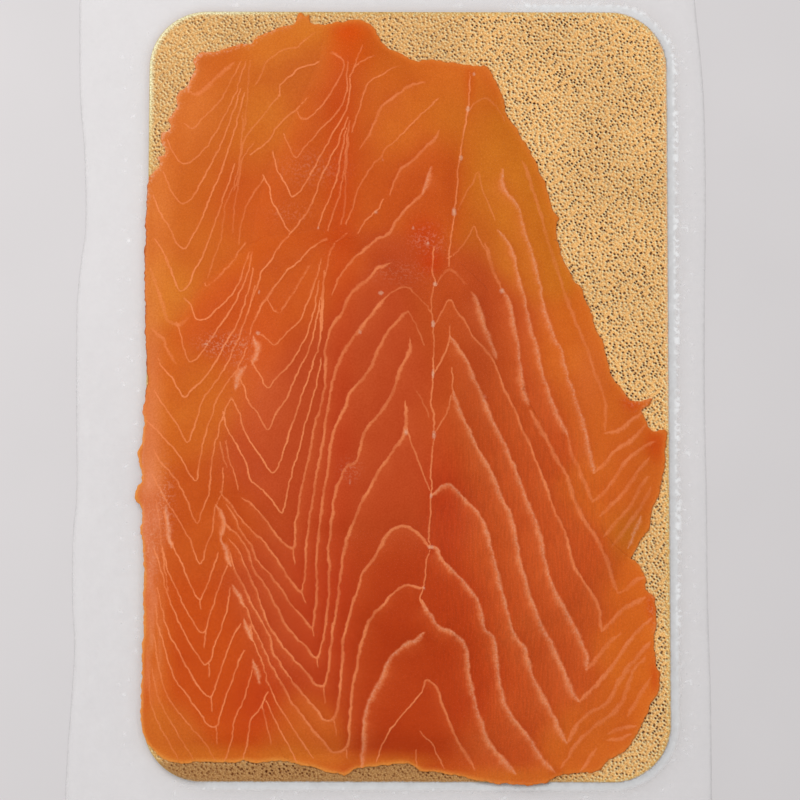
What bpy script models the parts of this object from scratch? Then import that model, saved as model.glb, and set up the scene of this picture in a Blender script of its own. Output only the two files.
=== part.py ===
"""Vacuum pack of sliced smoked salmon.

A clear pouch lies flat on Z = 0. A card board lies in it, and four shingled
slices of fish lie on the board. Lengths below are in millimetres and the
solids are in metres, with +Y along the pouch and +Z up.
"""
import math

import bpy
import numpy as np
from mathutils import Vector
from mathutils.geometry import delaunay_2d_cdt

MM = 0.001

# Card board
BOARD_W = 162.0
BOARD_L = 240.0
BOARD_T = 1.2
BOARD_R = 18.0
BOARD_CHAMFER = 0.25
BOARD_SHIFT = 5.2

# Clear pouch: a 200 x 300 pouch, drawn in a little by the vacuum
POUCH_W = 195.6
POUCH_L = 297.0
SHEET_T = 0.9
FLOOR_T = 0.5
SEAL_T = 0.6
SEAL_FROM_END = 9.0
SEAL_WIDTH = 10.0
COLLAR_TOP = 1.85

# Room left between neighbouring solids
GAP = 0.3
BOARD_GAP = 0.4

# Slices of fish
SLICE_T = 2.35
RIM_T = 0.7
RIM_RISE = 4.5
DRAPE = 9.0
OUTLINE_STEP = 5.6
GRID_STEP = 7.6
RAGGED = 0.22

# Each material's colour, metallic value, roughness and opacity
FINISHES = {
    "clear_film": ((0.86, 0.86, 0.85), 0.0, 0.12, 0.4),
    "gold_board": ((0.74, 0.46, 0.17), 0.8, 0.35, 1.0),
    "salmon": ((0.70, 0.16, 0.045), 0.0, 0.3, 1.0),
}

# Each slice's outline from the back of the stack to the front. The readings
# are on a top view with 800 units a side, whose board is about 523 wide.
SLICES = {
    "slice_back_left": (3.5, [
        (147, 310), (147, 215), (150, 180), (162, 140), (178, 105), (194, 74),
        (206, 52), (245, 44), (275, 28), (302, 18), (330, 26), (372, 48),
        (420, 82), (450, 130), (470, 200), (484, 280), (490, 360), (484, 440),
        (458, 500), (405, 530), (330, 536), (250, 522), (190, 492), (160, 440),
        (153, 400), (149, 360)]),
    "slice_back_right": (5.5, [
        (327, 25), (348, 21), (370, 26), (388, 45), (415, 60), (486, 65),
        (502, 93), (524, 137), (546, 182), (558, 232), (585, 300), (605, 352),
        (630, 399), (648, 402), (652, 424), (667, 432), (666, 462), (655, 505),
        (641, 543), (622, 572), (585, 610), (530, 640), (450, 652), (370, 640),
        (305, 602), (266, 540), (248, 460), (244, 390), (250, 320), (250, 240),
        (258, 190), (282, 135),
        (301, 95), (324, 58)]),
    "slice_front_left": (6.5, [
        (147, 375), (158, 350), (176, 322), (190, 292), (224, 263), (250, 243),
        (290, 232), (330, 228), (368, 240), (405, 275), (432, 330), (454, 400),
        (486, 470), (508, 545), (538, 620), (552, 675), (528, 732), (455, 754),
        (365, 752), (285, 762), (205, 764), (166, 756), (145, 730), (141, 690),
        (141, 620), (143, 545), (136, 497), (140, 460), (145, 415)]),
    "slice_front_right": (9.5, [
        (257, 290), (284, 265), (318, 246), (358, 236), (400, 240), (442, 251),
        (472, 273), (498, 302), (516, 352), (533, 407), (567, 444), (592, 497),
        (608, 540), (640, 562), (656, 600), (657, 645), (661, 682), (648, 715),
        (612, 765), (555, 779), (500, 783), (450, 775), (395, 767), (345, 774),
        (285, 760), (265, 707), (248, 645), (230, 580), (218, 530), (217, 480),
        (226, 410), (250, 352)]),
}


def place(u, v, height):
    """A top view reading, in millimetres, for a point this high."""
    scale = BOARD_W / (515.9 + 0.01765 * v)
    x = (u - 408.6 + 0.0029 * v) * scale
    y = 120.0 - 1.0058 * (0.3140 * (v - 12.0) - 0.52e-5 * (v * v - 144.0))
    spread = 1.0 - height / 900.0
    return np.array([x * spread, y * spread])


def smooth_loop(points, step):
    """A closed Catmull-Rom curve through the points, in even steps."""
    pts = np.array(points, dtype=float)
    count = len(pts)
    fine = []
    for i in range(count):
        a, b, c, d = (pts[(i + k - 1) % count] for k in range(4))
        for t in np.linspace(0.0, 1.0, 12, endpoint=False):
            fine.append(0.5 * (2.0 * b + (c - a) * t + (2.0 * a - 5.0 * b + 4.0 * c - d) * t ** 2
                               + (3.0 * b - a - 3.0 * c + d) * t ** 3))
    fine = np.array(fine)
    closed = np.vstack([fine, fine[:1]])
    along = np.concatenate([[0.0], np.cumsum(np.linalg.norm(np.diff(closed, axis=0), axis=1))])
    number = int(round(along[-1] / step))
    where = np.linspace(0.0, along[-1], number, endpoint=False)
    return np.column_stack([np.interp(where, along, closed[:, 0]), np.interp(where, along, closed[:, 1])])


def ragged_loop(loop, amount, seed):
    """The loop with its points moved in and out, as a torn edge of fish."""
    rng = np.random.default_rng(seed)
    ahead = np.roll(loop, -1, axis=0) - np.roll(loop, 1, axis=0)
    ahead /= np.linalg.norm(ahead, axis=1)[:, None]
    out = np.column_stack([ahead[:, 1], -ahead[:, 0]])
    return loop + out * (rng.normal(0.0, amount, len(loop)))[:, None]


def signed_distance(points, loop):
    """Distance to the loop, above zero inside it."""
    a = loop
    b = np.roll(loop, -1, axis=0)
    best = np.full(len(points), 1e9)
    inside = np.zeros(len(points), dtype=bool)
    for p, q in zip(a, b):
        edge = q - p
        t = np.clip(((points - p) @ edge) / (edge @ edge), 0.0, 1.0)
        near = p + t[:, None] * edge
        best = np.minimum(best, np.linalg.norm(points - near, axis=1))
        cross = (p[1] > points[:, 1]) != (q[1] > points[:, 1])
        rise = q[1] - p[1] if abs(q[1] - p[1]) > 1e-12 else 1e-12
        at = p[0] + (points[:, 1] - p[1]) / rise * edge[0]
        inside ^= cross & (points[:, 0] < at)
    return np.where(inside, best, -best)


def smoothstep(value):
    value = np.clip(value, 0.0, 1.0)
    return value * value * (3.0 - 2.0 * value)


def rounded_rect(width, length, radius, side, corner):
    """Points round a rectangle with round corners, anticlockwise."""
    points = []
    half_w = width / 2.0 - radius
    half_l = length / 2.0 - radius
    for quarter, (sx, sy) in enumerate([(1, 1), (-1, 1), (-1, -1), (1, -1)]):
        start = quarter * math.pi / 2.0
        for k in range(corner):
            angle = start + (math.pi / 2.0) * k / corner
            points.append((sx * half_w + radius * math.cos(angle), sy * half_l + radius * math.sin(angle)))
        end = start + math.pi / 2.0
        here = (sx * half_w + radius * math.cos(end), sy * half_l + radius * math.sin(end))
        nx, ny = [(-1, 1), (-1, -1), (1, -1), (1, 1)][quarter]
        there = (nx * half_w + radius * math.cos(end), ny * half_l + radius * math.sin(end))
        for k in range(side):
            t = k / side
            points.append((here[0] + (there[0] - here[0]) * t, here[1] + (there[1] - here[1]) * t))
    return np.array(points)


def finish(name):
    """The named Principled material, made once."""
    if name in bpy.data.materials:
        return bpy.data.materials[name]
    color, metallic, roughness, opacity = FINISHES[name]
    material = bpy.data.materials.new(name)
    material.use_nodes = True
    shader = material.node_tree.nodes["Principled BSDF"]
    shader.inputs["Base Color"].default_value = (*color, 1.0)
    shader.inputs["Metallic"].default_value = metallic
    shader.inputs["Roughness"].default_value = roughness
    shader.inputs["Alpha"].default_value = opacity
    return material


def add_object(name, verts, faces, finish_name):
    mesh = bpy.data.meshes.new(name)
    mesh.from_pydata([tuple(float(c) * MM for c in v) for v in verts], [], faces)
    mesh.validate()
    mesh.update()
    mesh.shade_smooth()
    mesh.set_sharp_from_angle(angle=math.radians(40.0))
    mesh.materials.append(finish(finish_name))
    obj = bpy.data.objects.new(name, mesh)
    bpy.context.scene.collection.objects.link(obj)
    return obj


def stack_rings(rings):
    """A closed solid from rings of equal count, capped at both ends."""
    verts = [tuple(p) for ring in rings for p in ring]
    count = len(rings[0])
    faces = []
    for level in range(len(rings) - 1):
        low = level * count
        high = low + count
        for k in range(count):
            n = (k + 1) % count
            faces.append((low + k, low + n, high + n))
            faces.append((low + k, high + n, high + k))
    for level, turned in ((0, True), (len(rings) - 1, False)):
        base = level * count
        centre = len(verts)
        verts.append(tuple(np.mean(np.array(rings[level]), axis=0)))
        for k in range(count):
            n = (k + 1) % count
            faces.append((centre, base + n, base + k) if turned else (centre, base + k, base + n))
    return verts, faces


def level_ring(outline, z):
    heights = np.broadcast_to(np.asarray(z, dtype=float), (len(outline),))
    return [(p[0], p[1], h) for p, h in zip(outline, heights)]


def build_board():
    low = FLOOR_T + GAP
    high = low + BOARD_T
    shift = np.array([BOARD_SHIFT, 0.0])
    full = rounded_rect(BOARD_W, BOARD_L, BOARD_R, 6, 8) + shift
    inner = rounded_rect(BOARD_W - 2.0 * BOARD_CHAMFER, BOARD_L - 2.0 * BOARD_CHAMFER,
                         BOARD_R - BOARD_CHAMFER, 6, 8) + shift
    rings = [level_ring(inner, low), level_ring(full, low + BOARD_CHAMFER),
             level_ring(full, high - BOARD_CHAMFER), level_ring(inner, high)]
    return add_object("board", *stack_rings(rings), "gold_board")


def pouch_edge(outline):
    """The pouch's cut edge: its long sides are drawn in and a little wavy."""
    moved = outline.copy()
    y = outline[:, 1]
    left = 1.0 + 0.9 * np.cos(y / 34.0 - 1.9) - 0.9 * np.exp(-((y - 61.0) / 17.0) ** 2)
    right = 0.8 + 0.5 * np.cos(y / 41.0 + 0.6)
    draw = np.where(outline[:, 0] < 0.0, left, -right)
    near_end = smoothstep((POUCH_L / 2.0 - np.abs(y)) / 22.0)
    moved[:, 0] += draw * near_end * np.clip(np.abs(outline[:, 0]) / 60.0, 0.0, 1.0) ** 4
    return moved


def build_pouch():
    side, corner = 14, 6
    shift = np.array([BOARD_SHIFT, 0.0])
    edge = pouch_edge(rounded_rect(POUCH_W, POUCH_L, 2.0, side, corner))
    recess = rounded_rect(BOARD_W + 2.0 * BOARD_GAP, BOARD_L + 2.0 * BOARD_GAP,
                          BOARD_R + BOARD_GAP, side, corner) + shift

    def collar(spread):
        grown = rounded_rect(BOARD_W + 2.0 * spread, BOARD_L + 2.0 * spread, BOARD_R + spread, side, corner)
        return grown + shift

    def sheet_height(outline):
        from_end = POUCH_L / 2.0 - np.abs(outline[:, 1])
        in_seal = smoothstep((from_end - SEAL_FROM_END + 0.8) / 1.6)
        in_seal = in_seal * smoothstep((SEAL_FROM_END + SEAL_WIDTH + 0.8 - from_end) / 1.6)
        return SHEET_T + (SEAL_T - SHEET_T) * in_seal

    mid = collar(8.0)
    between = [mid + (edge - mid) * t for t in (0.3, 0.55, 0.8)]
    rings = [level_ring(edge, 0.0), level_ring(edge, sheet_height(edge))]
    rings += [level_ring(ring, sheet_height(ring)) for ring in reversed(between)]
    rings += [level_ring(mid, sheet_height(mid)),
              level_ring(collar(3.5), 1.15),
              level_ring(collar(1.2), 1.7),
              level_ring(recess, COLLAR_TOP),
              level_ring(recess, FLOOR_T)]
    return add_object("pouch", *stack_rings(rings), "clear_film")


def slice_outlines():
    loops = []
    for seed, (name, (height, readings)) in enumerate(SLICES.items()):
        points = [place(u, v, height) + np.array([BOARD_SHIFT, 0.0]) for u, v in readings]
        loop = ragged_loop(smooth_loop(points, OUTLINE_STEP), RAGGED, 40 + seed)
        area = np.sum(loop[:, 0] * np.roll(loop[:, 1], -1) - np.roll(loop[:, 0], -1) * loop[:, 1])
        loops.append(loop if area > 0.0 else loop[::-1])
    return loops


def shared_triangles(loops):
    """One triangulation for all the slices, so their faces never cross."""
    verts = [tuple(p) for loop in loops for p in loop]
    faces = []
    start = 0
    for loop in loops:
        faces.append(list(range(start, start + len(loop))))
        start += len(loop)
    low = np.min(np.vstack(loops), axis=0)
    high = np.max(np.vstack(loops), axis=0)
    grid = []
    row = 0
    y = low[1]
    while y < high[1]:
        offset = 0.5 * GRID_STEP * (row % 2)
        grid += [(x + offset, y) for x in np.arange(low[0], high[0], GRID_STEP)]
        y += GRID_STEP * math.sqrt(0.75)
        row += 1
    grid = np.array(grid)
    distances = np.array([signed_distance(grid, loop) for loop in loops])
    keep = (distances.max(axis=0) > 0.0) & (np.abs(distances).min(axis=0) > 3.0)
    verts += [tuple(p) for p in grid[keep]]
    result = delaunay_2d_cdt([Vector(v) for v in verts], [], faces, 1, 0.05, True)
    points = np.array([tuple(v) for v in result[0]])
    return points, result[2], result[5]


def build_slices():
    loops = slice_outlines()
    points, triangles, owners = shared_triangles(loops)
    base = FLOOR_T + GAP + BOARD_T + GAP
    swell = 0.10 * np.sin(points[:, 0] / 17.0 + points[:, 1] / 29.0) + 0.08 * np.sin(points[:, 1] / 13.0)
    under = np.full(len(points), base)
    for index, (name, loop) in enumerate(zip(SLICES, loops)):
        distance = signed_distance(points, loop)
        rise = smoothstep(distance / RIM_RISE)
        thick = RIM_T + (SLICE_T + swell - RIM_T) * rise
        mine = [tuple(tri) for tri, owner in zip(triangles, owners) if index in owner]
        used = sorted({v for tri in mine for v in tri})
        number = {v: k for k, v in enumerate(used)}
        verts = [(points[v, 0], points[v, 1], under[v] + thick[v]) for v in used]
        verts += [(points[v, 0], points[v, 1], under[v]) for v in used]
        half = len(used)
        faces = []
        edges = {}
        for tri in mine:
            a, b, c = (number[v] for v in tri)
            pa, pb, pc = (points[v] for v in tri)
            if (pb[0] - pa[0]) * (pc[1] - pa[1]) - (pc[0] - pa[0]) * (pb[1] - pa[1]) < 0.0:
                b, c = c, b
            faces.append((a, b, c))
            faces.append((half + a, half + c, half + b))
            for p, q in ((a, b), (b, c), (c, a)):
                edges[(p, q)] = True
        for p, q in list(edges):
            if (q, p) not in edges:
                faces.append((q, p, half + p))
                faces.append((q, half + p, half + q))
        add_object(name, verts, faces, "salmon")
        fade = np.where(distance >= -0.06, 1.0, smoothstep(1.0 + distance / DRAPE))
        under = under + (thick + GAP) * fade


def main():
    for obj in list(bpy.data.objects):
        bpy.data.objects.remove(obj, do_unlink=True)
    build_pouch()
    build_board()
    build_slices()


main()
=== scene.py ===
"""Looks of the smoked salmon pack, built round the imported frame.

The fish, its fat lines, the embossed gold board and the clear pouch are meshes
made here. Lengths are in millimetres until a mesh is made, when they become
metres. Readings are places on the photo's 800 by 800 frame.
"""
import math

import bpy
import numpy as np
from mathutils import Matrix, Vector
from mathutils.bvhtree import BVHTree
from mathutils.geometry import delaunay_2d_cdt
from mathutils.kdtree import KDTree


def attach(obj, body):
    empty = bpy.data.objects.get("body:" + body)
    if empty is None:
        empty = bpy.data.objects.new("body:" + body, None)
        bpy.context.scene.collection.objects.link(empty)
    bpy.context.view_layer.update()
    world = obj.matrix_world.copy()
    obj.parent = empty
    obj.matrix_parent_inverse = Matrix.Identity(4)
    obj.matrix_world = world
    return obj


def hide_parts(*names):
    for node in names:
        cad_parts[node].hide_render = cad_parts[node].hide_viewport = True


MM = 0.001

# The camera, aimed from above at a point near the board's middle
FRAME_SIZE = 800
EYE_DISTANCE = 1000.0
EYE_ELEVATION = 84.147
EYE_ROLL = 0.11
EYE_FOCAL = 3221.0
BOARD_X = 5.2
AIM = np.array([BOARD_X - 2.375, -2.206, 0.0])

# The board and the pouch round it
BOARD_TOP = 2.0
BOARD_LOW = 0.8
BOARD_W = 162.0
BOARD_L = 240.0
BOARD_R = 18.0
BOARD_CHAMFER = 0.25
POUCH_W = 195.6
POUCH_L = 297.0
SEAL_FROM_END = 9.0
SEAL_WIDTH = 10.0
SEAL_RIB = 1.4

# Light and floor
KEY_POWER = 5.0
WORLD_POWER = 0.52
FLOOR_TONE = (228, 224, 224)
FLOOR_HALF = 1500.0
FLOOR_LEVEL = -0.4

# Slices from the back of the stack to the front, and the height of each one's outline
SLICES = ["slice_back_left", "slice_back_right", "slice_front_left", "slice_front_right"]
SLICE_TOPS = {
    "slice_back_left": 3.4,
    "slice_back_right": 4.6,
    "slice_front_left": 6.0,
    "slice_front_right": 8.5,
}

# How a slice rises from its rim, and how far it sinks where another covers it
RIM_REACH = 6.0
FRONT_REACH = 13.0
EDGE_LIFT = 0.4
EDGE_SINK = -0.12
EDGE_CLIMB = 0.5
HIDDEN_SINK = 0.9
UNDERSIDE = BOARD_TOP + 0.05
FAT_RISE = 0.12

# Spacing of rasters and of mesh points
RASTER = 0.75
SKIN_REACH = 2.2
STACK_STEP = 0.6
COVER_STEP = 0.5
COVER_ROOM = 16.0
RING_STEP = 0.45
GRID_STEP = 1.3
COARSE_STEP = 7.0
RIM_ROWS = (0.35, 0.9, 1.7)
LINE_STEP = 2
LINE_GAP = 0.2
GRID_GAP = 0.8
COARSE_GAP = 2.5
BESIDE_LINE = 2.2
FILM_STEP = 0.6
FILM_BROAD_STEP = 1.8
FILM_RING_STEP = 0.8
BOARD_STEP = 1.6
BOARD_ROWS = (0.7, 1.2, 2.0)
BOARD_COUNT = 960

# How far inside a slice its mesh points lie, as shares of its cover, and the share
# of the cover of the slices above from which they are left out
LINES_FROM = 0.62
ROWS_FROM = 0.58
GRID_FROM = 0.78
COARSE_FROM = 0.99
HIDDEN_FROM = 0.97

# Reach over which a slice's cover and the whole stack's cover come up from an edge,
# and the room round the pouch in the stack's rasters
SLICE_SOFT = 0.8
STACK_SOFT = 1.1
STACK_ROOM = 6.0

# Strengths of the fish's painted parts
FAT_SHARE = 0.85
WHITE_SHARE = 0.6
KNOT_SIZE = 0.6
KNOT_SHARE = 0.75
HAZE_SHARE = 0.55
SHADE_SHARE = 0.3
SHADE_REACH = 6.0
RIM_SHARE = 0.6
FISH_GRAIN = (0.06, 0.13, 0.25)
CLOUD_TINT = (0.022, 0.07, 0.11)

# Seeded variation: reach, seed and size
CLOUDS = ((26.0, 11, 0.5), (9.0, 12, 0.3))
WANDER = ((9.0, 33, 0.7), (4.5, 33, 0.55), (2.6, 33, 0.45))
UNEVEN = ((8.0, 31, 0.25), (3.0, 36, 0.3))
HUMPS = ((5.5, 51, 0.06), (2.2, 52, 0.04))
PUCKERS = ((2.6, 91, 0.35), (5.5, 92, 0.35))

# Reach and size of the nicks in a cut edge
NICKS = ((3.0, 0.22), (1.4, 0.22), (0.7, 0.2))

# The gold board's pits, darkened by painted shade in their hollows, each with a painted glint highlight
# beside it
GOLD_GRAIN = (0.32, 0.42, 0.62)
PIT_PITCH = 0.92
PIT_TURN = 42.0
PIT_STRETCH = (1.3, 1.0, 1.0)
GLINT_SHIFT = (0.07, 0.46)

# The film over the contents
FILM_LIFT = 0.45
FILM_WHITE = 244.0
FILM_EDGE = 176.0
# Where painted sparkles of light run beside the board's right edge, and the middle of their run
SPARKLE_GAP = 2.6
SPARKLE_MIDDLE = 22.0

# Readings over which tones are evened, and their rise across and down the photo:
# start, span and size
EVEN_ACROSS = (140.0, 670.0)
EVEN_DOWN = (10.0, 785.0)
EVEN_BASE = 0.985
EVEN_RISE = ((240.0, 400.0, 0.05), (150.0, 600.0, 0.035))

# Readings over which a part of the rim's paint comes, or comes and goes again
PALE_ACROSS = (195.0, 240.0)
PALE_DOWN = (165.0, 190.0)
SHADE_ACROSS = (150.0, 156.0)
SHADE_DOWN = (170.0, 190.0, 390.0, 410.0)
WET_HIGHLIGHT_ACROSS = (150.0, 172.0)
WET_HIGHLIGHT_DOWN = (430.0, 500.0, 640.0, 740.0)
SUN_ACROSS = (165.0, 200.0)
SUN_DOWN = (400.0, 430.0)
FOOT_ACROSS = (440.0, 560.0)
FOOT_DOWN = (740.0, 760.0)
CRUMB_ACROSS = (230.0, 330.0)
CRUMB_DOWN = (180.0, 230.0)
STREAK_CENTRE = (520, 570)
STREAK_HALF = (105, 215)

# The same for the board: its corner at the top left, where a painted highlight brightens the rim, its
# pinkish right edge, the strip in front of the fish and the side that the fish leaves open
CORNER_HIGHLIGHT_SUM = (230.0, 330.0)
BLUSH_ACROSS = (640.0, 662.0)
BLUSH_DOWN = (380.0, 460.0)
STRIP_ACROSS = (520.0, 620.0)
STRIP_DOWN = (757.0, 766.0)
OPEN_ACROSS = (380.0, 520.0)

# Gold board colours, as sRGB values; the two pit colours are painted shade in the hollows of the emboss,
# and the glint and corner colours are painted highlights
GOLD = {
    "ground": (238, 182, 112),
    "pit": (116, 52, 0),
    "deep_pit_shade": (50, 10, 0),
    "glint": (255, 244, 190),
    "strip": (188, 138, 84),
    "rim": (214, 176, 100),
    "corner": (255, 250, 205),
    "blush": (244, 190, 140),
}

# The pouch's wavy long edges, read from the top of the photo downwards
FILM_LEFT = [
    (80, -95), (80, 100), (84, 150), (85, 230), (81, 260), (77, 300), (76, 400), (76, 500),
    (73, 530), (72, 600), (74, 650), (71, 700), (68, 740), (65, 800), (66, 890),
]
FILM_RIGHT = [
    (692, -95), (695, 0), (700, 50), (704, 100), (706, 200), (705, 300), (705, 400),
    (707, 500), (708, 600), (711, 700), (712, 800), (712, 890),
]

# Fish colours, as sRGB values
TONES = {
    "amber": (224, 122, 38),
    "orange": (217, 106, 32),
    "gold": (212, 115, 30),
    "salmon": (208, 88, 26),
    "copper": (210, 100, 32),
    "deep": (196, 75, 32),
    "dark": (186, 62, 18),
    "dusk": (200, 82, 31),
    "rust": (208, 62, 8),
    "flame": (226, 80, 8),
    "rim": (234, 130, 52),
    "fringe": (240, 148, 96),
    "shade": (150, 70, 26),
    "haze": (232, 116, 62),
    "coral": (213, 87, 26),
    "ember": (208, 80, 20),
    "garnet": (192, 48, 14),
    "glow": (238, 138, 68),
    "wet_highlight": (240, 146, 108),
    "sunlit": (242, 160, 74),
    "fleck": (248, 186, 150),
    "dusk_shade": (172, 50, 14),
    "pale_fat": (252, 148, 92),
    "white_fat": (238, 190, 158),
}

# Where each tone is strongest: reading, reach and tone
FLESH = [
    ((205, 125), 60, "orange"), ((195, 215), 50, "orange"), ((285, 38), 30, "amber"),
    ((258, 120), 30, "amber"), ((236, 200), 34, "coral"), ((165, 285), 26, "amber"),
    ((143, 470), 16, "orange"), ((140, 640), 12, "orange"), ((300, 75), 26, "copper"),
    ((312, 170), 44, "salmon"), ((345, 100), 30, "salmon"), ((402, 105), 36, "orange"),
    ((435, 180), 30, "salmon"), ((495, 180), 30, "gold"), ((536, 245), 30, "gold"),
    ((588, 340), 26, "orange"), ((590, 405), 24, "copper"), ((622, 490), 30, "copper"),
    ((183, 400), 40, "orange"), ((232, 320), 34, "coral"), ((195, 520), 36, "salmon"),
    ((195, 640), 38, "ember"), ((180, 745), 24, "copper"), ((228, 715), 26, "ember"),
    ((300, 285), 34, "salmon"), ((288, 450), 46, "deep"), ((362, 350), 44, "deep"),
    ((300, 600), 46, "deep"), ((400, 480), 44, "deep"), ((370, 620), 46, "dark"),
    ((440, 670), 56, "dark"), ((470, 440), 34, "dusk"), ((540, 560), 36, "dusk"),
    ((520, 640), 30, "dusk"), ((590, 570), 30, "dusk"), ((490, 745), 24, "dusk"),
    ((515, 705), 20, "dusk"),
    ((595, 735), 30, "copper"), ((300, 735), 22, "copper"), ((635, 670), 28, "orange"),
    ((470, 320), 34, "dusk"), ((535, 430), 26, "dusk"), ((562, 680), 24, "dusk"),
    ((630, 580), 26, "orange"),
]

# Stains, dark spots, glows, a painted shadow band and a painted highlight: reading, half sizes, strength
# and tone
SPOTS = [
    ((424, 236), (15, 16), 0.75, "rust"), ((430, 262), (12, 11), 0.85, "rust"),
    ((350, 32), (15, 10), 0.75, "flame"), ((355, 50), (20, 14), 0.4, "flame"),
    ((218, 345), (18, 8), 0.25, "dark"), ((632, 402), (9, 7), 0.6, "rust"),
    ((655, 445), (9, 14), 0.5, "rust"), ((655, 606), (7, 16), 0.5, "rust"),
    ((657, 675), (5, 16), 0.5, "rust"), ((556, 774), (8, 6), 0.6, "dark"),
    ((160, 283), (5, 22), 0.35, "amber"), ((470, 92), (5, 24), 0.35, "rust"),
    # the second spot on the next line is a painted highlight of moist sheen along the left edge
    ((452, 190), (7, 30), 0.25, "dark"), ((150, 440), (12, 130), 0.5, "wet_highlight"),
    ((158, 200), (14, 70), 0.5, "glow"), ((190, 110), (26, 40), 0.35, "glow"),
    ((262, 395), (26, 50), 0.3, "haze"), ((156, 670), (14, 90), 0.45, "amber"),
    # the first spot on the next line is a painted shadow band along the front right slice's top edge
    ((375, 243), (45, 12), 0.5, "deep"), ((318, 590), (26, 80), 0.45, "garnet"),
    ((341, 180), (14, 140), 0.4, "rust"), ((338, 440), (14, 90), 0.4, "garnet"),
    ((262, 700), (26, 36), 0.4, "garnet"), ((462, 118), (26, 28), 0.5, "gold"),
    ((480, 310), (18, 80), 0.6, "deep"), ((395, 264), (24, 20), 0.75, "deep"),
    ((628, 532), (20, 20), 0.8, "gold"), ((590, 370), (16, 34), 0.35, "haze"),
    ((590, 650), (18, 56), 0.35, "dusk"), ((340, 618), (16, 46), 0.4, "garnet"),
    ((446, 495), (18, 52), 0.45, "garnet"),
    ((390, 763), (44, 9), 0.7, "amber"), ((505, 777), (60, 9), 0.65, "amber"),
    ((300, 758), (50, 9), 0.5, "amber"), ((215, 755), (60, 9), 0.6, "amber"),
]

# Clusters of fine pale flecks: reading, half sizes and strength
FLECKS = [
    ((226, 343), (24, 9), 0.6), ((215, 350), (12, 6), 0.5), ((312, 168), (30, 14), 0.22),
    ((290, 212), (18, 8), 0.22), ((402, 272), (26, 10), 0.2), ((428, 240), (16, 12), 0.35),
    ((165, 500), (9, 34), 0.4), ((150, 540), (9, 44), 0.35), ((640, 400), (14, 8), 0.4),
    ((655, 610), (6, 18), 0.4), ((240, 352), (14, 16), 0.3), ((350, 470), (10, 10), 0.25),
]

# Pale dots and wedges of fat: reading, half sizes and strength
KNOTS = [
    ((468, 109), (3.5, 5), 1.0), ((461, 158), (3.5, 5), 0.9), ((454, 212), (4, 7), 1.0),
    ((435, 284), (4, 4), 1.0), ((433, 324), (3.5, 7), 1.0), ((433, 374), (2.6, 8), 1.0),
    ((434, 435), (3.5, 8), 0.9), ((431, 496), (2.6, 5), 0.9), ((431, 547), (6, 4), 0.8),
    ((424, 588), (2.5, 4), 0.8), ((413, 228), (3, 5), 0.7), ((428, 243), (3, 3), 0.9),
    ((502, 291), (4.5, 5), 0.9), ((318, 228), (2.5, 4), 0.7), ((381, 293), (4.5, 4), 0.9),
    ((360, 332), (4, 5), 0.7), ((485, 397), (5, 8), 0.5), ((406, 432), (4, 7), 0.8),
    ((206, 344), (4, 2.5), 0.9), ((382, 160), (4, 4), 0.5), ((376, 212), (4, 4), 0.7),
    ((258, 333), (4, 4), 0.9), ((474, 74), (3, 4), 0.8), ((637, 551), (7, 5), 0.5),
    ((259, 292), (2, 5), 0.8), ((350, 482), (2.4, 8), 0.6),
]

# Kinds of fat line: half width, reach of the pale side, its strength (widths in
# readings), how much wider the line grows to its end, how much wider it is on
# its pale side, how strong and how white it is
KINDS = {
    "fine": (1.4, 0.0, 0.0, 1.0, 1.0, 1.0, 0.0),
    "swell": (1.35, 6.0, 0.6, 1.8, 1.4, 0.8, 0.1),
    "flank": (2.5, 7.0, 0.9, 1.3, 2.2, 0.65, 0.4),
    "soft": (3.0, 0.0, 0.0, 1.0, 1.0, 0.8, 0.0),
    "broad": (2.8, 5.0, 0.3, 1.0, 1.5, 1.2, 0.0),
    "patch": (5.0, 0.0, 0.0, 1.0, 1.0, 0.9, 0.45),
}

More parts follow.
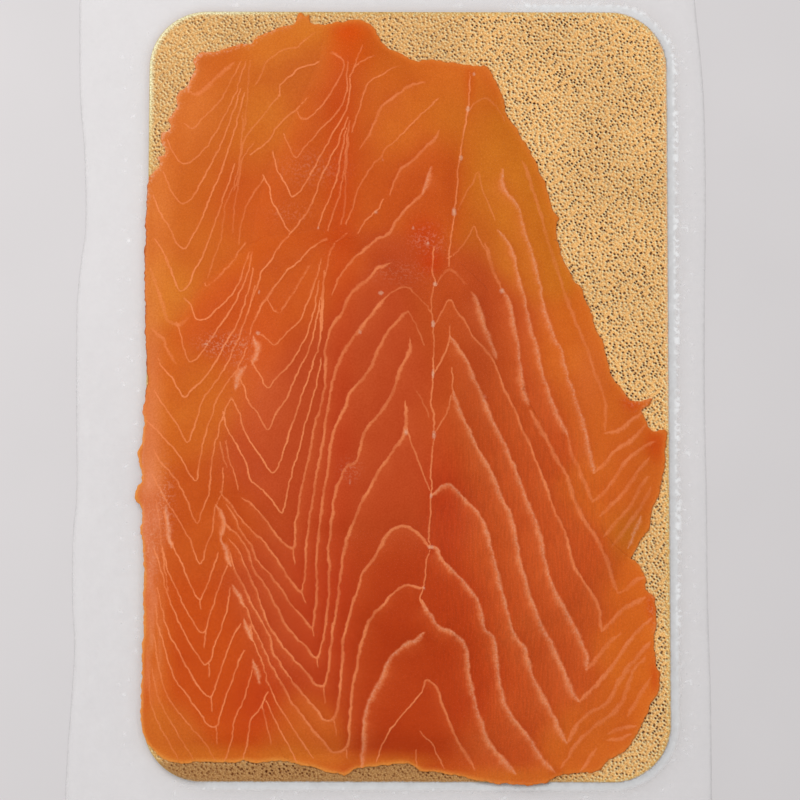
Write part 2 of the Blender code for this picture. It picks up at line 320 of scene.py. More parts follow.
# Each slice's outline: finely read where it shows, coarsely where it is covered
OUTLINES = {
    "slice_back_left": [
        (147, 375), (145, 350), (145, 320), (145, 295), (144, 265), (145, 235), (146, 205), (148, 184),
        (150, 176), (154, 170), (158, 167), (160, 162), (157, 157), (164, 154), (165, 148), (161, 141),
        (162, 133), (166, 131), (170, 126), (168, 119), (173, 113), (176, 106), (176, 99), (179, 91),
        (185, 86), (189, 80), (192, 73), (196, 67), (193, 60), (199, 52), (207, 52), (214, 52),
        (222, 49), (231, 46), (241, 43), (250, 43), (256, 38), (265, 33), (275, 28), (285, 25),
        (294, 24), (298, 16), (301, 13), (305, 17), (309, 14), (310, 22), (320, 24), (331, 24),
        (372, 48), (420, 82), (450, 130), (470, 200), (484, 280), (490, 360), (484, 440), (458, 500),
        (405, 530), (330, 536), (250, 522), (190, 492), (160, 440), (150, 405)],
    "slice_back_right": [
        (327, 25), (334, 21), (341, 20), (348, 18), (356, 18), (363, 20), (370, 23), (375, 28),
        (378, 34), (383, 41), (390, 48), (401, 52), (409, 57), (417, 59), (428, 58), (440, 60),
        (455, 61), (468, 64), (478, 64), (486, 65), (491, 70), (495, 77), (499, 86), (503, 98),
        (506, 109), (511, 120), (518, 128), (522, 137), (528, 147), (535, 159), (539, 169), (544, 179),
        (548, 190), (551, 201), (554, 211), (560, 217), (557, 223), (557, 235), (560, 246), (564, 260),
        (570, 272), (575, 281), (582, 287), (586, 298), (591, 309), (595, 324), (601, 337), (605, 347),
        (608, 360), (611, 374), (617, 383), (624, 391), (629, 398), (637, 401), (646, 399), (654, 397),
        (650, 405), (643, 410), (646, 418), (650, 426), (656, 430), (662, 428), (667, 430), (667, 440),
        (665, 452), (665, 466), (661, 483), (659, 495), (654, 506), (651, 518), (649, 529), (642, 539),
        (638, 547), (632, 557), (622, 575), (585, 610), (530, 640), (450, 652), (370, 640), (305, 602),
        (266, 540), (248, 460), (244, 390), (250, 320), (250, 240), (258, 190), (282, 135), (301, 95),
        (318, 58)],
    "slice_front_left": [
        (147, 378), (158, 350), (176, 322), (190, 292), (224, 263), (250, 243), (290, 232), (330, 228),
        (368, 240), (405, 275), (432, 330), (454, 400), (486, 470), (508, 545), (538, 620), (552, 675),
        (528, 732), (455, 754), (365, 752), (300, 764), (285, 761), (270, 762), (256, 763), (244, 761),
        (230, 763), (214, 762), (196, 762), (180, 763), (169, 762), (158, 756), (150, 748), (145, 740),
        (142, 731), (140, 718), (140, 700), (141, 660), (142, 620), (143, 575), (141, 543), (139, 531),
        (141, 518), (140, 508), (136, 501), (134, 495), (136, 487), (141, 480), (141, 471), (138, 461),
        (137, 451), (141, 441), (143, 421), (142, 411), (144, 400)],
    "slice_front_right": [
        (257, 290), (284, 265), (318, 246), (358, 236), (400, 240), (442, 251), (472, 273), (498, 302),
        (516, 352), (533, 407), (567, 444), (592, 497), (608, 535), (630, 555), (637, 561), (643, 569),
        (647, 577), (646, 585), (649, 591), (655, 596), (657, 608), (658, 620), (656, 635), (656, 653),
        (658, 664), (661, 672), (661, 683), (658, 694), (653, 704), (648, 716), (642, 728), (636, 738),
        (629, 749), (621, 755), (611, 760), (604, 768), (595, 772), (580, 774), (566, 775), (556, 777),
        (550, 782), (540, 785), (520, 785), (500, 784), (486, 782), (470, 779), (452, 775), (436, 773),
        (421, 771), (411, 765), (398, 764), (383, 766), (366, 768), (355, 769), (349, 773), (344, 777),
        (339, 774), (328, 773), (316, 768), (304, 766), (295, 763), (284, 757), (265, 707), (248, 645),
        (230, 580), (218, 530), (215, 500), (218, 460), (226, 410), (238, 372), (250, 340)],
}

# Fat lines, each read from its left end: kind, strength and readings
LINES = [
    ("broad", 0.35, [(188, 90), (194, 94), (201, 91), (214, 80), (226, 69), (234, 62)]),
    ("fine", 0.45, [(184, 123), (192, 128), (201, 120), (212, 109), (222, 98), (232, 79), (241, 60)]),
    ("fine", 0.60, [(167, 139), (173, 152), (184, 163), (197, 157), (208, 145), (218, 129), (229, 108),
                    (238, 86), (246, 60)]),
    ("fine", 0.75, [(163, 172), (170, 187), (176, 198), (183, 203), (190, 200), (201, 183), (212, 163),
                    (223, 139), (232, 116), (241, 88)]),
    ("fine", 0.80, [(153, 195), (159, 211), (168, 226), (175, 240), (184, 248), (192, 238), (201, 220),
                    (210, 197), (220, 173), (229, 148), (236, 124), (245, 92)]),
    ("fine", 0.85, [(155, 239), (167, 259), (174, 279), (181, 291), (186, 288), (195, 270), (205, 251),
                    (215, 222), (225, 193), (235, 163)]),
    ("fine", 0.40, [(208, 276), (214, 258), (221, 238), (226, 205), (236, 178), (241, 150), (243, 112)]),
    ("fine", 0.40, [(239, 244), (241, 222), (248, 204), (256, 190), (264, 178)]),
    ("fine", 0.35, [(233, 232), (235, 205), (239, 182), (243, 158), (253, 144)]),
    ("fine", 0.30, [(244, 130), (247, 108), (248, 84), (250, 60)]),
    ("fine", 0.45, [(234, 190), (239, 176), (240, 160), (246, 137), (258, 122), (270, 107), (280, 94)]),
    ("fine", 0.75, [(280, 96), (280, 87), (288, 78), (300, 68), (310, 65), (320, 61)]),
    ("fine", 0.45, [(256, 84), (262, 74), (267, 62), (275, 55), (285, 49), (298, 46), (308, 37),
                    (320, 31)]),
    ("fine", 0.60, [(250, 155), (260, 148), (270, 139), (277, 127), (287, 117), (297, 109), (310, 96)]),
    ("fine", 0.60, [(328, 52), (338, 56), (343, 61), (341, 74), (334, 88), (325, 101), (316, 111),
                    (306, 119), (301, 118), (297, 110)]),
    ("fine", 0.65, [(284, 134), (289, 145), (296, 158), (302, 150), (312, 140), (322, 128), (333, 116),
                    (341, 107), (346, 94), (348, 62)]),
    ("fine", 0.85, [(273, 153), (278, 170), (286, 185), (292, 197), (298, 193), (309, 177), (320, 157),
                    (330, 138), (339, 122), (347, 108), (350, 88), (352, 72), (360, 62), (374, 55)]),
    ("fine", 0.90, [(263, 175), (269, 187), (271, 200), (279, 213), (287, 228), (291, 233)]),
    ("fine", 0.85, [(252, 300), (258, 284), (262, 272), (271, 260), (282, 243), (292, 232), (301, 220),
                    (312, 202), (320, 181), (330, 160), (340, 138), (348, 117)]),
    ("fine", 0.70, [(318, 228), (320, 222), (325, 209), (333, 191), (338, 172), (342, 150), (347, 128)]),
    ("fine", 0.55, [(328, 230), (333, 214), (340, 196), (344, 170), (348, 132)]),
    ("fine", 0.40, [(341, 224), (345, 205), (346, 170), (350, 120)]),
    ("fine", 0.60, [(346, 224), (352, 208), (357, 190), (366, 176), (375, 163), (382, 157), (385, 149),
                    (392, 143), (403, 133), (416, 119), (427, 109), (439, 98)]),
    ("fine", 0.60, [(352, 132), (356, 120), (361, 104), (366, 86), (373, 79), (383, 74), (391, 68),
                    (402, 64)]),
    ("fine", 0.60, [(353, 72), (356, 60), (360, 50), (363, 44)]),
    ("swell", 0.75, [(360, 148), (368, 136), (375, 121), (381, 107), (388, 101), (398, 94), (408, 86),
                     (424, 82)]),
    ("swell", 0.65, [(390, 194), (394, 181), (401, 169), (412, 160), (424, 148), (434, 139), (439, 130)]),
    ("fine", 0.75, [(358, 233), (365, 222), (373, 215), (379, 209), (383, 199)]),
    ("swell", 0.80, [(332, 294), (336, 284), (343, 272), (352, 260), (364, 250), (376, 240), (390, 232),
                     (397, 219), (407, 208), (416, 200), (424, 192)]),
    ("flank", 0.85, [(422, 194), (427, 180), (431, 167)]),
    ("fine", 0.55, [(322, 330), (323, 300), (323, 282), (327, 266), (330, 252), (337, 241), (347, 233)]),
    ("fine", 0.85, [(250, 334), (256, 316), (264, 302), (272, 291), (278, 282), (288, 270), (300, 260),
                    (310, 248), (322, 241), (331, 239)]),
    ("fine", 0.65, [(268, 300), (274, 310), (280, 312), (288, 300), (297, 287), (305, 273), (311, 262)]),
    ("fine", 0.80, [(256, 334), (264, 336), (274, 345), (282, 338), (292, 328), (301, 318), (308, 301),
                    (314, 285), (319, 270), (321, 258)]),
    ("fine", 0.90, [(251, 360), (258, 372), (268, 388), (276, 378), (287, 367), (297, 353), (305, 337),
                    (311, 322), (316, 300), (319, 280)]),
    ("fine", 0.90, [(236, 374), (244, 386), (247, 400), (258, 413), (268, 430), (276, 414), (287, 397),
                    (296, 377), (304, 360), (312, 340), (318, 316), (320, 298)]),
    ("fine", 0.90, [(233, 400), (240, 416), (247, 436), (258, 453), (273, 473), (280, 462), (287, 440),
                    (295, 416), (303, 393), (312, 366), (319, 344), (321, 320), (322, 292), (324, 270)]),
    ("fine", 0.90, [(223, 412), (227, 428), (236, 445), (245, 460), (251, 480), (260, 489), (272, 500),
                    (282, 513), (286, 498), (291, 475), (298, 453), (304, 430), (311, 404), (318, 378),
                    (321, 358)]),
    ("fine", 0.70, [(220, 442), (223, 455), (227, 468)]),
    ("fine", 0.75, [(226, 442), (229, 460), (235, 476), (238, 490)]),
    ("swell", 0.85, [(242, 498), (252, 504), (264, 518), (278, 536), (293, 549), (295, 530), (298, 506),
                     (303, 480), (309, 456), (315, 424), (322, 402), (325, 375), (326, 342), (333, 325),
                     (341, 313), (348, 298), (358, 287), (369, 279), (377, 269), (390, 263)]),
    ("swell", 0.85, [(220, 492), (233, 508), (249, 528), (265, 543), (278, 561), (290, 580), (301, 591),
                     (304, 578), (306, 548), (309, 522), (313, 495), (319, 462), (324, 432), (329, 402),
                     (333, 378), (340, 358), (349, 343), (359, 330), (368, 318), (378, 306), (386, 297)]),
    ("fine", 0.45, [(386, 297), (398, 289), (408, 287), (419, 297), (430, 311)]),
    ("swell", 0.85, [(226, 504), (234, 516), (241, 533), (250, 543), (257, 560), (268, 572), (280, 587),
                     (291, 604), (303, 617), (312, 628), (315, 610), (317, 585), (316, 560), (319, 530),
                     (322, 502), (327, 474), (331, 442), (337, 422), (345, 408), (351, 391), (361, 381),
                     (371, 366), (379, 348), (389, 329), (400, 318), (408, 311)]),
    ("fine", 0.40, [(408, 311), (416, 326), (424, 345)]),
    ("swell", 0.90, [(216, 505), (226, 524), (238, 536), (248, 552), (254, 570), (265, 584), (276, 606),
                     (288, 628), (303, 644), (317, 658), (322, 640), (327, 612), (329, 580), (328, 552),
                     (331, 524), (334, 498), (340, 480), (347, 466), (356, 461), (360, 448), (364, 433),
                     (372, 422), (384, 407), (392, 392), (399, 371), (406, 358), (410, 348), (410, 340)]),
    ("swell", 0.95, [(228, 538), (239, 551), (246, 568), (256, 589), (266, 618), (277, 637), (292, 657),
                     (306, 672), (317, 685), (324, 685), (329, 666), (331, 640), (336, 612), (339, 582),
                     (343, 556), (349, 533), (359, 508), (370, 487), (382, 466), (393, 451), (402, 437),
                     (406, 422), (405, 402)]),
    ("fine", 0.55, [(406, 424), (411, 442), (420, 466), (430, 491)]),
    ("fine", 0.35, [(417, 392), (424, 404), (429, 418)]),
    ("swell", 0.95, [(230, 552), (237, 574), (246, 591), (256, 612), (268, 632), (273, 652), (284, 669),
                     (297, 687), (312, 704), (326, 720), (334, 716), (339, 694), (342, 660), (344, 636),
                     (350, 612), (357, 590), (363, 571), (373, 560), (381, 545), (389, 532), (400, 526),
                     (410, 528), (420, 536), (429, 547)]),
    ("swell", 0.95, [(232, 588), (243, 602), (252, 623), (263, 648), (271, 664), (280, 680), (292, 702),
                     (307, 722), (322, 741), (335, 752), (346, 748), (350, 718), (353, 684), (358, 660),
                     (363, 636), (372, 616), (385, 603), (395, 591), (407, 585), (417, 587), (424, 588)]),
    ("fine", 0.85, [(250, 624), (255, 645), (262, 662), (268, 684), (276, 702), (288, 720), (300, 740),
                    (313, 758)]),
    ("flank", 0.90, [(361, 770), (363, 738), (366, 710), (373, 693), (382, 677), (390, 657), (401, 647),
                     (414, 640), (424, 632)]),
    ("fine", 0.85, [(376, 762), (384, 740), (396, 722), (408, 708), (422, 692)]),
    ("fine", 0.85, [(264, 698), (272, 714), (281, 732), (289, 748), (297, 763)]),
    ("fine", 0.50, [(262, 706), (266, 722), (271, 744)]),
    ("soft", 0.50, [(150, 268), (157, 288), (163, 306), (169, 322), (180, 325), (188, 318)]),
    ("fine", 0.85, [(185, 299), (192, 307), (195, 317), (200, 320), (208, 317), (221, 306), (233, 293),
                    (241, 279), (245, 265), (249, 252)]),
    ("fine", 0.85, [(205, 283), (206, 286), (216, 279), (229, 266), (239, 252), (245, 244)]),
    ("fine", 0.85, [(176, 322), (181, 336), (184, 350), (190, 362), (197, 357), (207, 345), (218, 329),
                    (230, 311), (240, 292), (247, 276), (251, 258), (254, 246)]),
    ("soft", 0.50, [(152, 329), (161, 337), (169, 352), (176, 364)]),
    ("fine", 0.85, [(158, 358), (161, 366), (169, 375), (178, 388), (184, 397), (191, 391), (203, 379),
                    (215, 362), (225, 344), (234, 330), (241, 312), (249, 290), (253, 268)]),
    ("fine", 0.80, [(154, 390), (163, 405), (173, 419), (181, 433), (187, 442), (192, 434), (198, 415),
                    (204, 398), (214, 384), (226, 366), (236, 344), (243, 325), (250, 306), (255, 286)]),
    ("fine", 0.75, [(146, 420), (158, 432), (171, 445), (183, 462), (195, 481), (199, 466), (204, 440),
                    (211, 418), (219, 396), (229, 380), (240, 364), (246, 348)]),
    ("fine", 0.70, [(154, 450), (161, 463), (172, 474), (182, 489), (190, 508), (197, 523), (203, 508),
                    (209, 492), (211, 470), (215, 446), (222, 418), (230, 400)]),
    ("fine", 0.75, [(152, 474), (161, 491), (170, 506), (182, 526), (192, 545), (200, 564), (206, 547),
                    (212, 530), (215, 510), (221, 492), (223, 468)]),
    ("fine", 0.90, [(164, 512), (168, 536), (177, 555), (186, 573), (193, 590), (200, 599), (207, 586),
                    (213, 569), (218, 553)]),
    ("fine", 0.75, [(162, 548), (168, 570), (175, 587), (184, 606), (193, 622), (201, 632), (206, 631),
                    (210, 614), (216, 596), (222, 578), (228, 564)]),
    ("fine", 0.80, [(154, 548), (160, 568), (167, 594), (175, 614), (185, 634), (196, 653), (205, 665),
                    (210, 661), (215, 644), (222, 626), (228, 606), (230, 588)]),
    ("fine", 0.80, [(157, 588), (162, 611), (170, 635), (179, 653), (190, 673), (201, 691), (211, 697),
                    (217, 681), (224, 661), (232, 639), (241, 623)]),
    ("fine", 0.80, [(155, 604), (160, 632), (167, 657), (175, 678), (187, 695), (199, 712), (211, 727),
                    (217, 725), (222, 709), (230, 687), (238, 664), (244, 651)]),
    ("fine", 0.55, [(153, 634), (159, 668), (166, 694), (177, 711), (190, 726), (203, 741), (215, 760)]),
    ("fine", 0.80, [(224, 762), (231, 742), (235, 720), (242, 703), (248, 688), (252, 670)]),
    ("fine", 0.50, [(152, 668), (157, 692), (165, 713), (176, 730), (185, 746), (193, 760)]),
    ("fine", 0.85, [(243, 762), (248, 738), (251, 720), (260, 708), (268, 692)]),
    ("fine", 0.45, [(149, 672), (151, 704), (160, 726), (170, 744), (178, 759)]),
    ("fine", 0.40, [(156, 500), (160, 530), (163, 560), (168, 590)]),
    ("fine", 0.85, [(434, 248), (433, 262), (432, 273), (435, 283), (432, 296), (431, 312), (433, 324),
                    (434, 338), (434, 352), (433, 374), (432, 392), (432, 404), (434, 424), (434, 437),
                    (432, 452), (431, 472), (432, 490), (431, 500), (430, 518), (429, 532), (430, 547)]),
    ("fine", 0.70, [(430, 550), (426, 562), (425, 578), (423, 590), (420, 598), (424, 606)]),
    ("fine", 0.85, [(470, 72), (469, 90), (468, 108), (464, 130), (461, 152), (458, 176), (456, 200),
                    (454, 215), (451, 236), (449, 254), (449, 266)]),
    ("fine", 0.50, [(436, 286), (442, 276), (450, 269), (458, 276), (468, 286)]),
    ("flank", 1.00, [(472, 291), (479, 306), (485, 326), (492, 343), (497, 358)]),
    ("swell", 0.85, [(434, 326), (442, 312), (450, 300), (457, 311), (466, 322), (473, 337), (484, 348),
                     (495, 363), (503, 386), (518, 418), (530, 446), (543, 478), (553, 508), (564, 530),
                     (573, 563), (585, 583), (598, 604), (602, 631)]),
    ("fine", 0.80, [(434, 374), (446, 350), (450, 336)]),
    ("flank", 0.90, [(450, 336), (457, 345), (467, 362), (477, 384), (488, 410), (499, 434), (511, 458),
                     (521, 484), (532, 512), (540, 534), (545, 560), (556, 592), (567, 613), (578, 633),
                     (587, 657), (587, 670)]),
    ("fine", 0.60, [(450, 336), (450, 325)]),
    ("fine", 0.80, [(434, 434), (446, 414), (451, 396)]),
    ("flank", 0.90, [(453, 390), (459, 406), (470, 432), (482, 455), (491, 470), (499, 492), (509, 511),
                     (515, 532), (519, 554), (525, 576), (532, 600), (542, 626), (553, 647), (564, 670),
                     (572, 690), (579, 701)]),
    ("fine", 0.75, [(453, 392), (452, 367)]),
    ("flank", 0.90, [(432, 495), (441, 487), (449, 484), (459, 493), (471, 505), (483, 521), (489, 540),
                     (495, 562), (502, 588), (509, 616), (516, 637), (525, 648), (531, 670), (541, 692),
                     (552, 714), (560, 729), (567, 743)]),
    ("flank", 0.95, [(430, 547), (436, 548), (443, 560), (455, 572), (468, 586), (480, 604), (485, 628),
                     (493, 637), (497, 656), (501, 688), (508, 709), (520, 726), (534, 745), (546, 762),
                     (555, 772)]),
    ("flank", 0.95, [(422, 600), (430, 613), (438, 626), (450, 631), (460, 638), (467, 652), (469, 674),
                     (474, 696), (480, 718), (489, 741), (502, 758), (516, 774)]),
    ("swell", 0.85, [(422, 692), (426, 680), (436, 686), (443, 704), (451, 727), (459, 742), (468, 757),
                     (474, 768)]),
    ("fine", 0.55, [(417, 766), (416, 750)]),
    ("fine", 0.60, [(420, 731), (430, 742), (438, 756), (444, 768)]),
    ("soft", 0.50, [(485, 243), (489, 256), (494, 271), (501, 289)]),
    ("flank", 0.85, [(503, 290), (509, 300), (514, 322), (518, 344), (521, 366), (524, 388), (529, 405)]),
    ("flank", 0.75, [(498, 230), (506, 238), (513, 252), (518, 272), (525, 298), (530, 323), (537, 348),
                     (543, 374), (551, 398), (559, 418), (568, 436)]),
    ("broad", 0.32, [(568, 436), (572, 454), (580, 472), (590, 494), (593, 502)]),
    ("flank", 0.62, [(503, 170), (504, 188), (511, 197), (518, 206), (522, 223), (529, 244), (537, 272),
                     (543, 300), (550, 326), (561, 350), (567, 374), (574, 394), (580, 410), (587, 436),
                     (592, 462), (594, 473)]),
    ("soft", 0.55, [(522, 160), (530, 180), (537, 204), (545, 232), (554, 262), (563, 288), (573, 315),
                    (584, 342), (595, 372), (603, 396), (606, 412), (605, 430)]),
    ("fine", 0.45, [(448, 258), (455, 254), (462, 247), (469, 236), (474, 226), (479, 238), (486, 252),
                    (491, 264), (495, 278)]),
    ("fine", 0.35, [(458, 210), (464, 198), (471, 186), (478, 173), (482, 188), (489, 205), (495, 220)]),
    ("fine", 0.35, [(470, 110), (477, 101), (484, 98), (491, 101), (499, 110), (506, 124)]),
    ("broad", 0.48, [(605, 433), (618, 430), (631, 421), (643, 411), (652, 407)]),
    ("broad", 0.48, [(594, 473), (602, 466), (613, 453), (626, 443), (637, 434), (645, 425)]),
    ("broad", 0.45, [(593, 501), (604, 492), (616, 476), (628, 459), (641, 448), (654, 441)]),
    ("broad", 0.38, [(600, 516), (611, 505), (623, 493), (633, 478), (642, 466), (649, 458)]),
    ("broad", 0.38, [(604, 536), (615, 523), (629, 507), (638, 491), (648, 476)]),
    ("broad", 0.38, [(612, 546), (623, 531), (635, 515), (645, 499), (651, 487)]),
    ("patch", 0.38, [(628, 548), (636, 530), (641, 516)]),
    ("broad", 0.45, [(530, 410), (542, 429), (554, 453), (566, 475), (576, 502), (585, 522), (597, 539),
                     (605, 556), (612, 575), (618, 593)]),
    ("broad", 0.42, [(618, 593), (627, 588), (635, 580), (644, 577)]),
    ("broad", 0.45, [(602, 631), (611, 621), (623, 609), (634, 603), (645, 597)]),
    ("broad", 0.45, [(587, 669), (598, 656), (610, 642), (620, 634)]),
    ("broad", 0.52, [(579, 701), (590, 691), (603, 676), (617, 659), (630, 640), (640, 628), (652, 618)]),
    ("broad", 0.42, [(567, 743), (576, 726), (587, 714), (600, 708), (609, 698), (617, 684), (626, 668),
                     (634, 660)]),
    ("broad", 0.40, [(561, 768), (571, 751), (584, 736), (598, 724), (611, 714), (622, 700), (628, 686),
                     (633, 671), (646, 657)]),
    ("broad", 0.50, [(580, 772), (588, 760), (596, 749)]),
    ("broad", 0.40, [(608, 734), (620, 728), (636, 726)]),
    ("broad", 0.40, [(608, 740), (620, 738), (631, 734)]),
    ("broad", 0.42, [(628, 716), (637, 699), (646, 684), (651, 677)]),
    ("broad", 0.42, [(609, 700), (619, 681), (630, 666), (642, 651), (651, 641)]),
    ("fine", 0.60, [(200, 599), (201, 610)]),
    ("fine", 0.60, [(206, 631), (204, 647)]),
    ("fine", 0.60, [(209, 664), (209, 677)]),
    ("fine", 0.60, [(211, 697), (212, 712)]),
    ("fine", 0.60, [(216, 727), (217, 743)]),
    ("fine", 0.60, [(293, 549), (295, 563)]),
    ("fine", 0.60, [(301, 591), (306, 603)]),
    ("fine", 0.60, [(312, 628), (314, 637)]),
    ("fine", 0.60, [(317, 658), (318, 667)]),
    ("fine", 0.60, [(324, 685), (325, 703)]),
    ("fine", 0.60, [(334, 716), (336, 734)]),
    ("fine", 0.60, [(346, 748), (347, 758)]),
    ("patch", 0.75, [(253, 336), (257, 350), (252, 364)]),
    ("patch", 0.65, [(246, 366), (239, 374), (235, 390)]),
    ("patch", 0.90, [(221, 541), (226, 551), (231, 566)]),
    ("patch", 0.80, [(233, 586), (239, 595), (244, 606)]),
    ("patch", 0.85, [(244, 620), (248, 630), (252, 640)]),
    ("patch", 0.80, [(253, 661), (256, 670), (259, 682)]),
    ("flank", 1.00, [(216, 505), (225, 520), (221, 538)]),
    ("patch", 0.40, [(194, 60), (190, 76), (188, 92)]),
    ("patch", 0.35, [(166, 505), (168, 530), (171, 548)]),
    ("fine", 0.60, [(165, 258), (171, 272), (176, 286)]),
]


def camera_axes():
    """The camera's place and its forward, rightward and upward directions."""
    elevation = math.radians(EYE_ELEVATION)
    roll = math.radians(EYE_ROLL)
    eye = AIM + EYE_DISTANCE * np.array([0.0, -math.cos(elevation), math.sin(elevation)])
    forward = (AIM - eye) / EYE_DISTANCE
    level = np.cross(forward, [0.0, 0.0, 1.0])
    level = level / np.linalg.norm(level)
    raised = np.cross(level, forward)
    across = math.cos(roll) * level + math.sin(roll) * raised
    upward = math.cos(roll) * raised - math.sin(roll) * level
    return eye, forward, across, upward


EYE, FORWARD, ACROSS, UPWARD = camera_axes()


def spot(readings, height):
    """Where the line of sight through each reading meets a height."""
    readings = np.asarray(readings, dtype=float)
    side = readings[:, :1] - FRAME_SIZE / 2
    rise = FRAME_SIZE / 2 - readings[:, 1:2]
    ray = EYE_FOCAL * FORWARD + side * ACROSS + rise * UPWARD
    reach = (np.asarray(height) - EYE[2]) / ray[:, 2]
    return EYE[:2] + ray[:, :2] * reach[:, None]


def readings_of(points):
    """The reading at which each point of the object is seen."""
    offset = points - EYE
    depth = offset @ FORWARD
    u = FRAME_SIZE / 2 + EYE_FOCAL * (offset @ ACROSS) / depth
    v = FRAME_SIZE / 2 - EYE_FOCAL * (offset @ UPWARD) / depth
    return np.stack([u, v], axis=1)


def fade(low, high, value):
    """Rises smoothly from 0 at low to 1 at high."""
    part = np.clip((value - low) / (high - low), 0.0, 1.0)
    return part * part * (3.0 - 2.0 * part)


def linear(colour):
    """Linear light of sRGB values from 0 to 255."""
    part = np.asarray(colour, dtype=float) / 255.0
    return np.where(part <= 0.04045, part / 12.92, ((part + 0.055) / 1.055) ** 2.4)


def drift(x, y, size, seed):
    """Smooth seeded variation from -1 to 1 with bumps about one size across."""
    cells = 64
    table = np.random.default_rng(seed).uniform(-1.0, 1.0, (cells, cells))
    gx = x / size + 1000.0
    gy = y / size + 1000.0
    ix = np.floor(gx).astype(int)
    iy = np.floor(gy).astype(int)
    fx = fade(0.0, 1.0, gx - ix)
    fy = fade(0.0, 1.0, gy - iy)
    left = ix % cells
    right = (ix + 1) % cells
    low = iy % cells
    high = (iy + 1) % cells
    near = table[left, low] * (1 - fx) + table[right, low] * fx
    far = table[left, high] * (1 - fx) + table[right, high] * fx
    return near * (1 - fy) + far * fy


def varied(x, y, parts):
    """Several layers of drift, each given by its reach, seed and size."""
    return sum(size * drift(x, y, reach, seed) for reach, seed, size in parts)


def come(limits, value):
    """Rises over the first two limits and falls again over the next two, if any."""
    share = fade(limits[0], limits[1], value)
    if len(limits) > 2:
        share = share * (1.0 - fade(limits[2], limits[3], value))
    return share


def leave(limits, value):
    """Falls from 1 to 0 over two limits."""
    return 1.0 - fade(limits[0], limits[1], value)


def mixed(colour, share, tone):
    """Colours carried towards one tone, each by its own share."""
    return colour * (1 - share[:, None]) + share[:, None] * np.array(tone, dtype=float)


def curve(points, step, closed=False):
    """Even points on a smooth curve through the given ones."""
    points = np.asarray(points, dtype=float)
    if closed:
        points = np.vstack([points[-1:], points, points[:2]])
    else:
        points = np.vstack([2 * points[:1] - points[1:2], points, 2 * points[-1:] - points[-2:-1]])
    spans = np.sqrt(np.linalg.norm(np.diff(points, axis=0), axis=1))[:, None]
    slopes = np.diff(points, axis=0) / spans
    before = slopes[:-1] * spans[1:] + slopes[1:] * spans[:-1]
    tangents = before / (spans[:-1] + spans[1:])
    made = []
    for i in range(len(points) - 3):
        start = points[i + 1]
        end = points[i + 2]
        pieces = max(2, int(math.ceil(np.linalg.norm(end - start) / (0.25 * step))))
        t = np.linspace(0.0, 1.0, pieces, endpoint=False)[:, None]
        lead = tangents[i] * spans[i + 1]
        trail = tangents[i + 1] * spans[i + 1]
        made.append((1 + 2 * t) * (1 - t) ** 2 * start + t * (1 - t) ** 2 * lead
                    + t * t * (3 - 2 * t) * end + t * t * (t - 1) * trail)
    made.append(points[-2:-1])
    dense = np.vstack(made)
    along = np.concatenate([[0.0], np.cumsum(np.linalg.norm(np.diff(dense, axis=0), axis=1))])
    count = max(2, int(round(along[-1] / step)) + 1)
    stops = np.linspace(0.0, along[-1], count)
    if closed:
        stops = stops[:-1]
    return np.stack([np.interp(stops, along, dense[:, 0]), np.interp(stops, along, dense[:, 1])], axis=1)


def headings(path):
    """Unit direction of travel at each point of a path."""
    way = np.gradient(path, axis=0)
    return way / np.maximum(np.linalg.norm(way, axis=1), 1e-9)[:, None]


class Raster:
    """Values on an even grid over the pack, read between its cells."""

    def __init__(self, low, high, step):
        self.low = np.asarray(low, dtype=float)
        self.step = step
        counts = np.ceil((np.asarray(high) - self.low) / step).astype(int) + 1
        self.values = np.zeros(counts)
        self.known = np.zeros(counts, dtype=bool)

    def centres(self):
        """Places of the grid's cells, as two arrays."""
        x = self.low[0] + self.step * np.arange(self.values.shape[0])
        y = self.low[1] + self.step * np.arange(self.values.shape[1])
        return np.meshgrid(x, y, indexing="ij")

    def at(self, x, y):
        """Values at any places, blended from the four cells round each."""
        gx = np.clip((x - self.low[0]) / self.step, 0, self.values.shape[0] - 1.001)
        gy = np.clip((y - self.low[1]) / self.step, 0, self.values.shape[1] - 1.001)
        ix = gx.astype(int)
        iy = gy.astype(int)
        fx = gx - ix
        fy = gy - iy
        near = self.values[ix, iy] * (1 - fx) + self.values[ix + 1, iy] * fx
        far = self.values[ix, iy + 1] * (1 - fx) + self.values[ix + 1, iy + 1] * fx
        return near * (1 - fy) + far * fy


def spread(values, reach):
    """Averages a grid over its neighbours, weighted by a bell of this reach."""
    radius = int(math.ceil(3 * reach))
    bell = np.exp(-0.5 * (np.arange(-radius, radius + 1) / reach) ** 2)
    bell = bell / bell.sum()
    padded = np.pad(values, radius, mode="edge")
    rows = sum(w * padded[i:i + values.shape[0], :] for i, w in enumerate(bell))
    return sum(w * rows[:, i:i + values.shape[1]] for i, w in enumerate(bell))


def smooth_known(raster, reach):
    """Smooths a raster's known values and carries them on past their border."""
    weight = spread(raster.known.astype(float), reach)
    total = spread(np.where(raster.known, raster.values, 0.0), reach)
    middle = raster.values[raster.known].mean()
    raster.values = np.where(weight > 1e-4, total / np.maximum(weight, 1e-4), middle)
    return raster


def cad_skin(node):
    """Smoothed heights of a CAD solid's top."""
    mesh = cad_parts[node].data
    corners = [vertex.co / MM for vertex in mesh.vertices]
    tree = BVHTree.FromPolygons(corners, [tuple(face.vertices) for face in mesh.polygons])
    skin = Raster(np.min(corners, axis=0)[:2] - 8.0, np.max(corners, axis=0)[:2] + 8.0, RASTER)
    x, y = skin.centres()
    above = 40.0
    aim = Vector((0, 0, -1.0))
    for index in np.ndindex(x.shape):
        place = tree.ray_cast(Vector((x[index], y[index], above)), aim)[0]
        if place is not None:
            skin.values[index] = place.z
            skin.known[index] = True
    return smooth_known(skin, SKIN_REACH / RASTER)


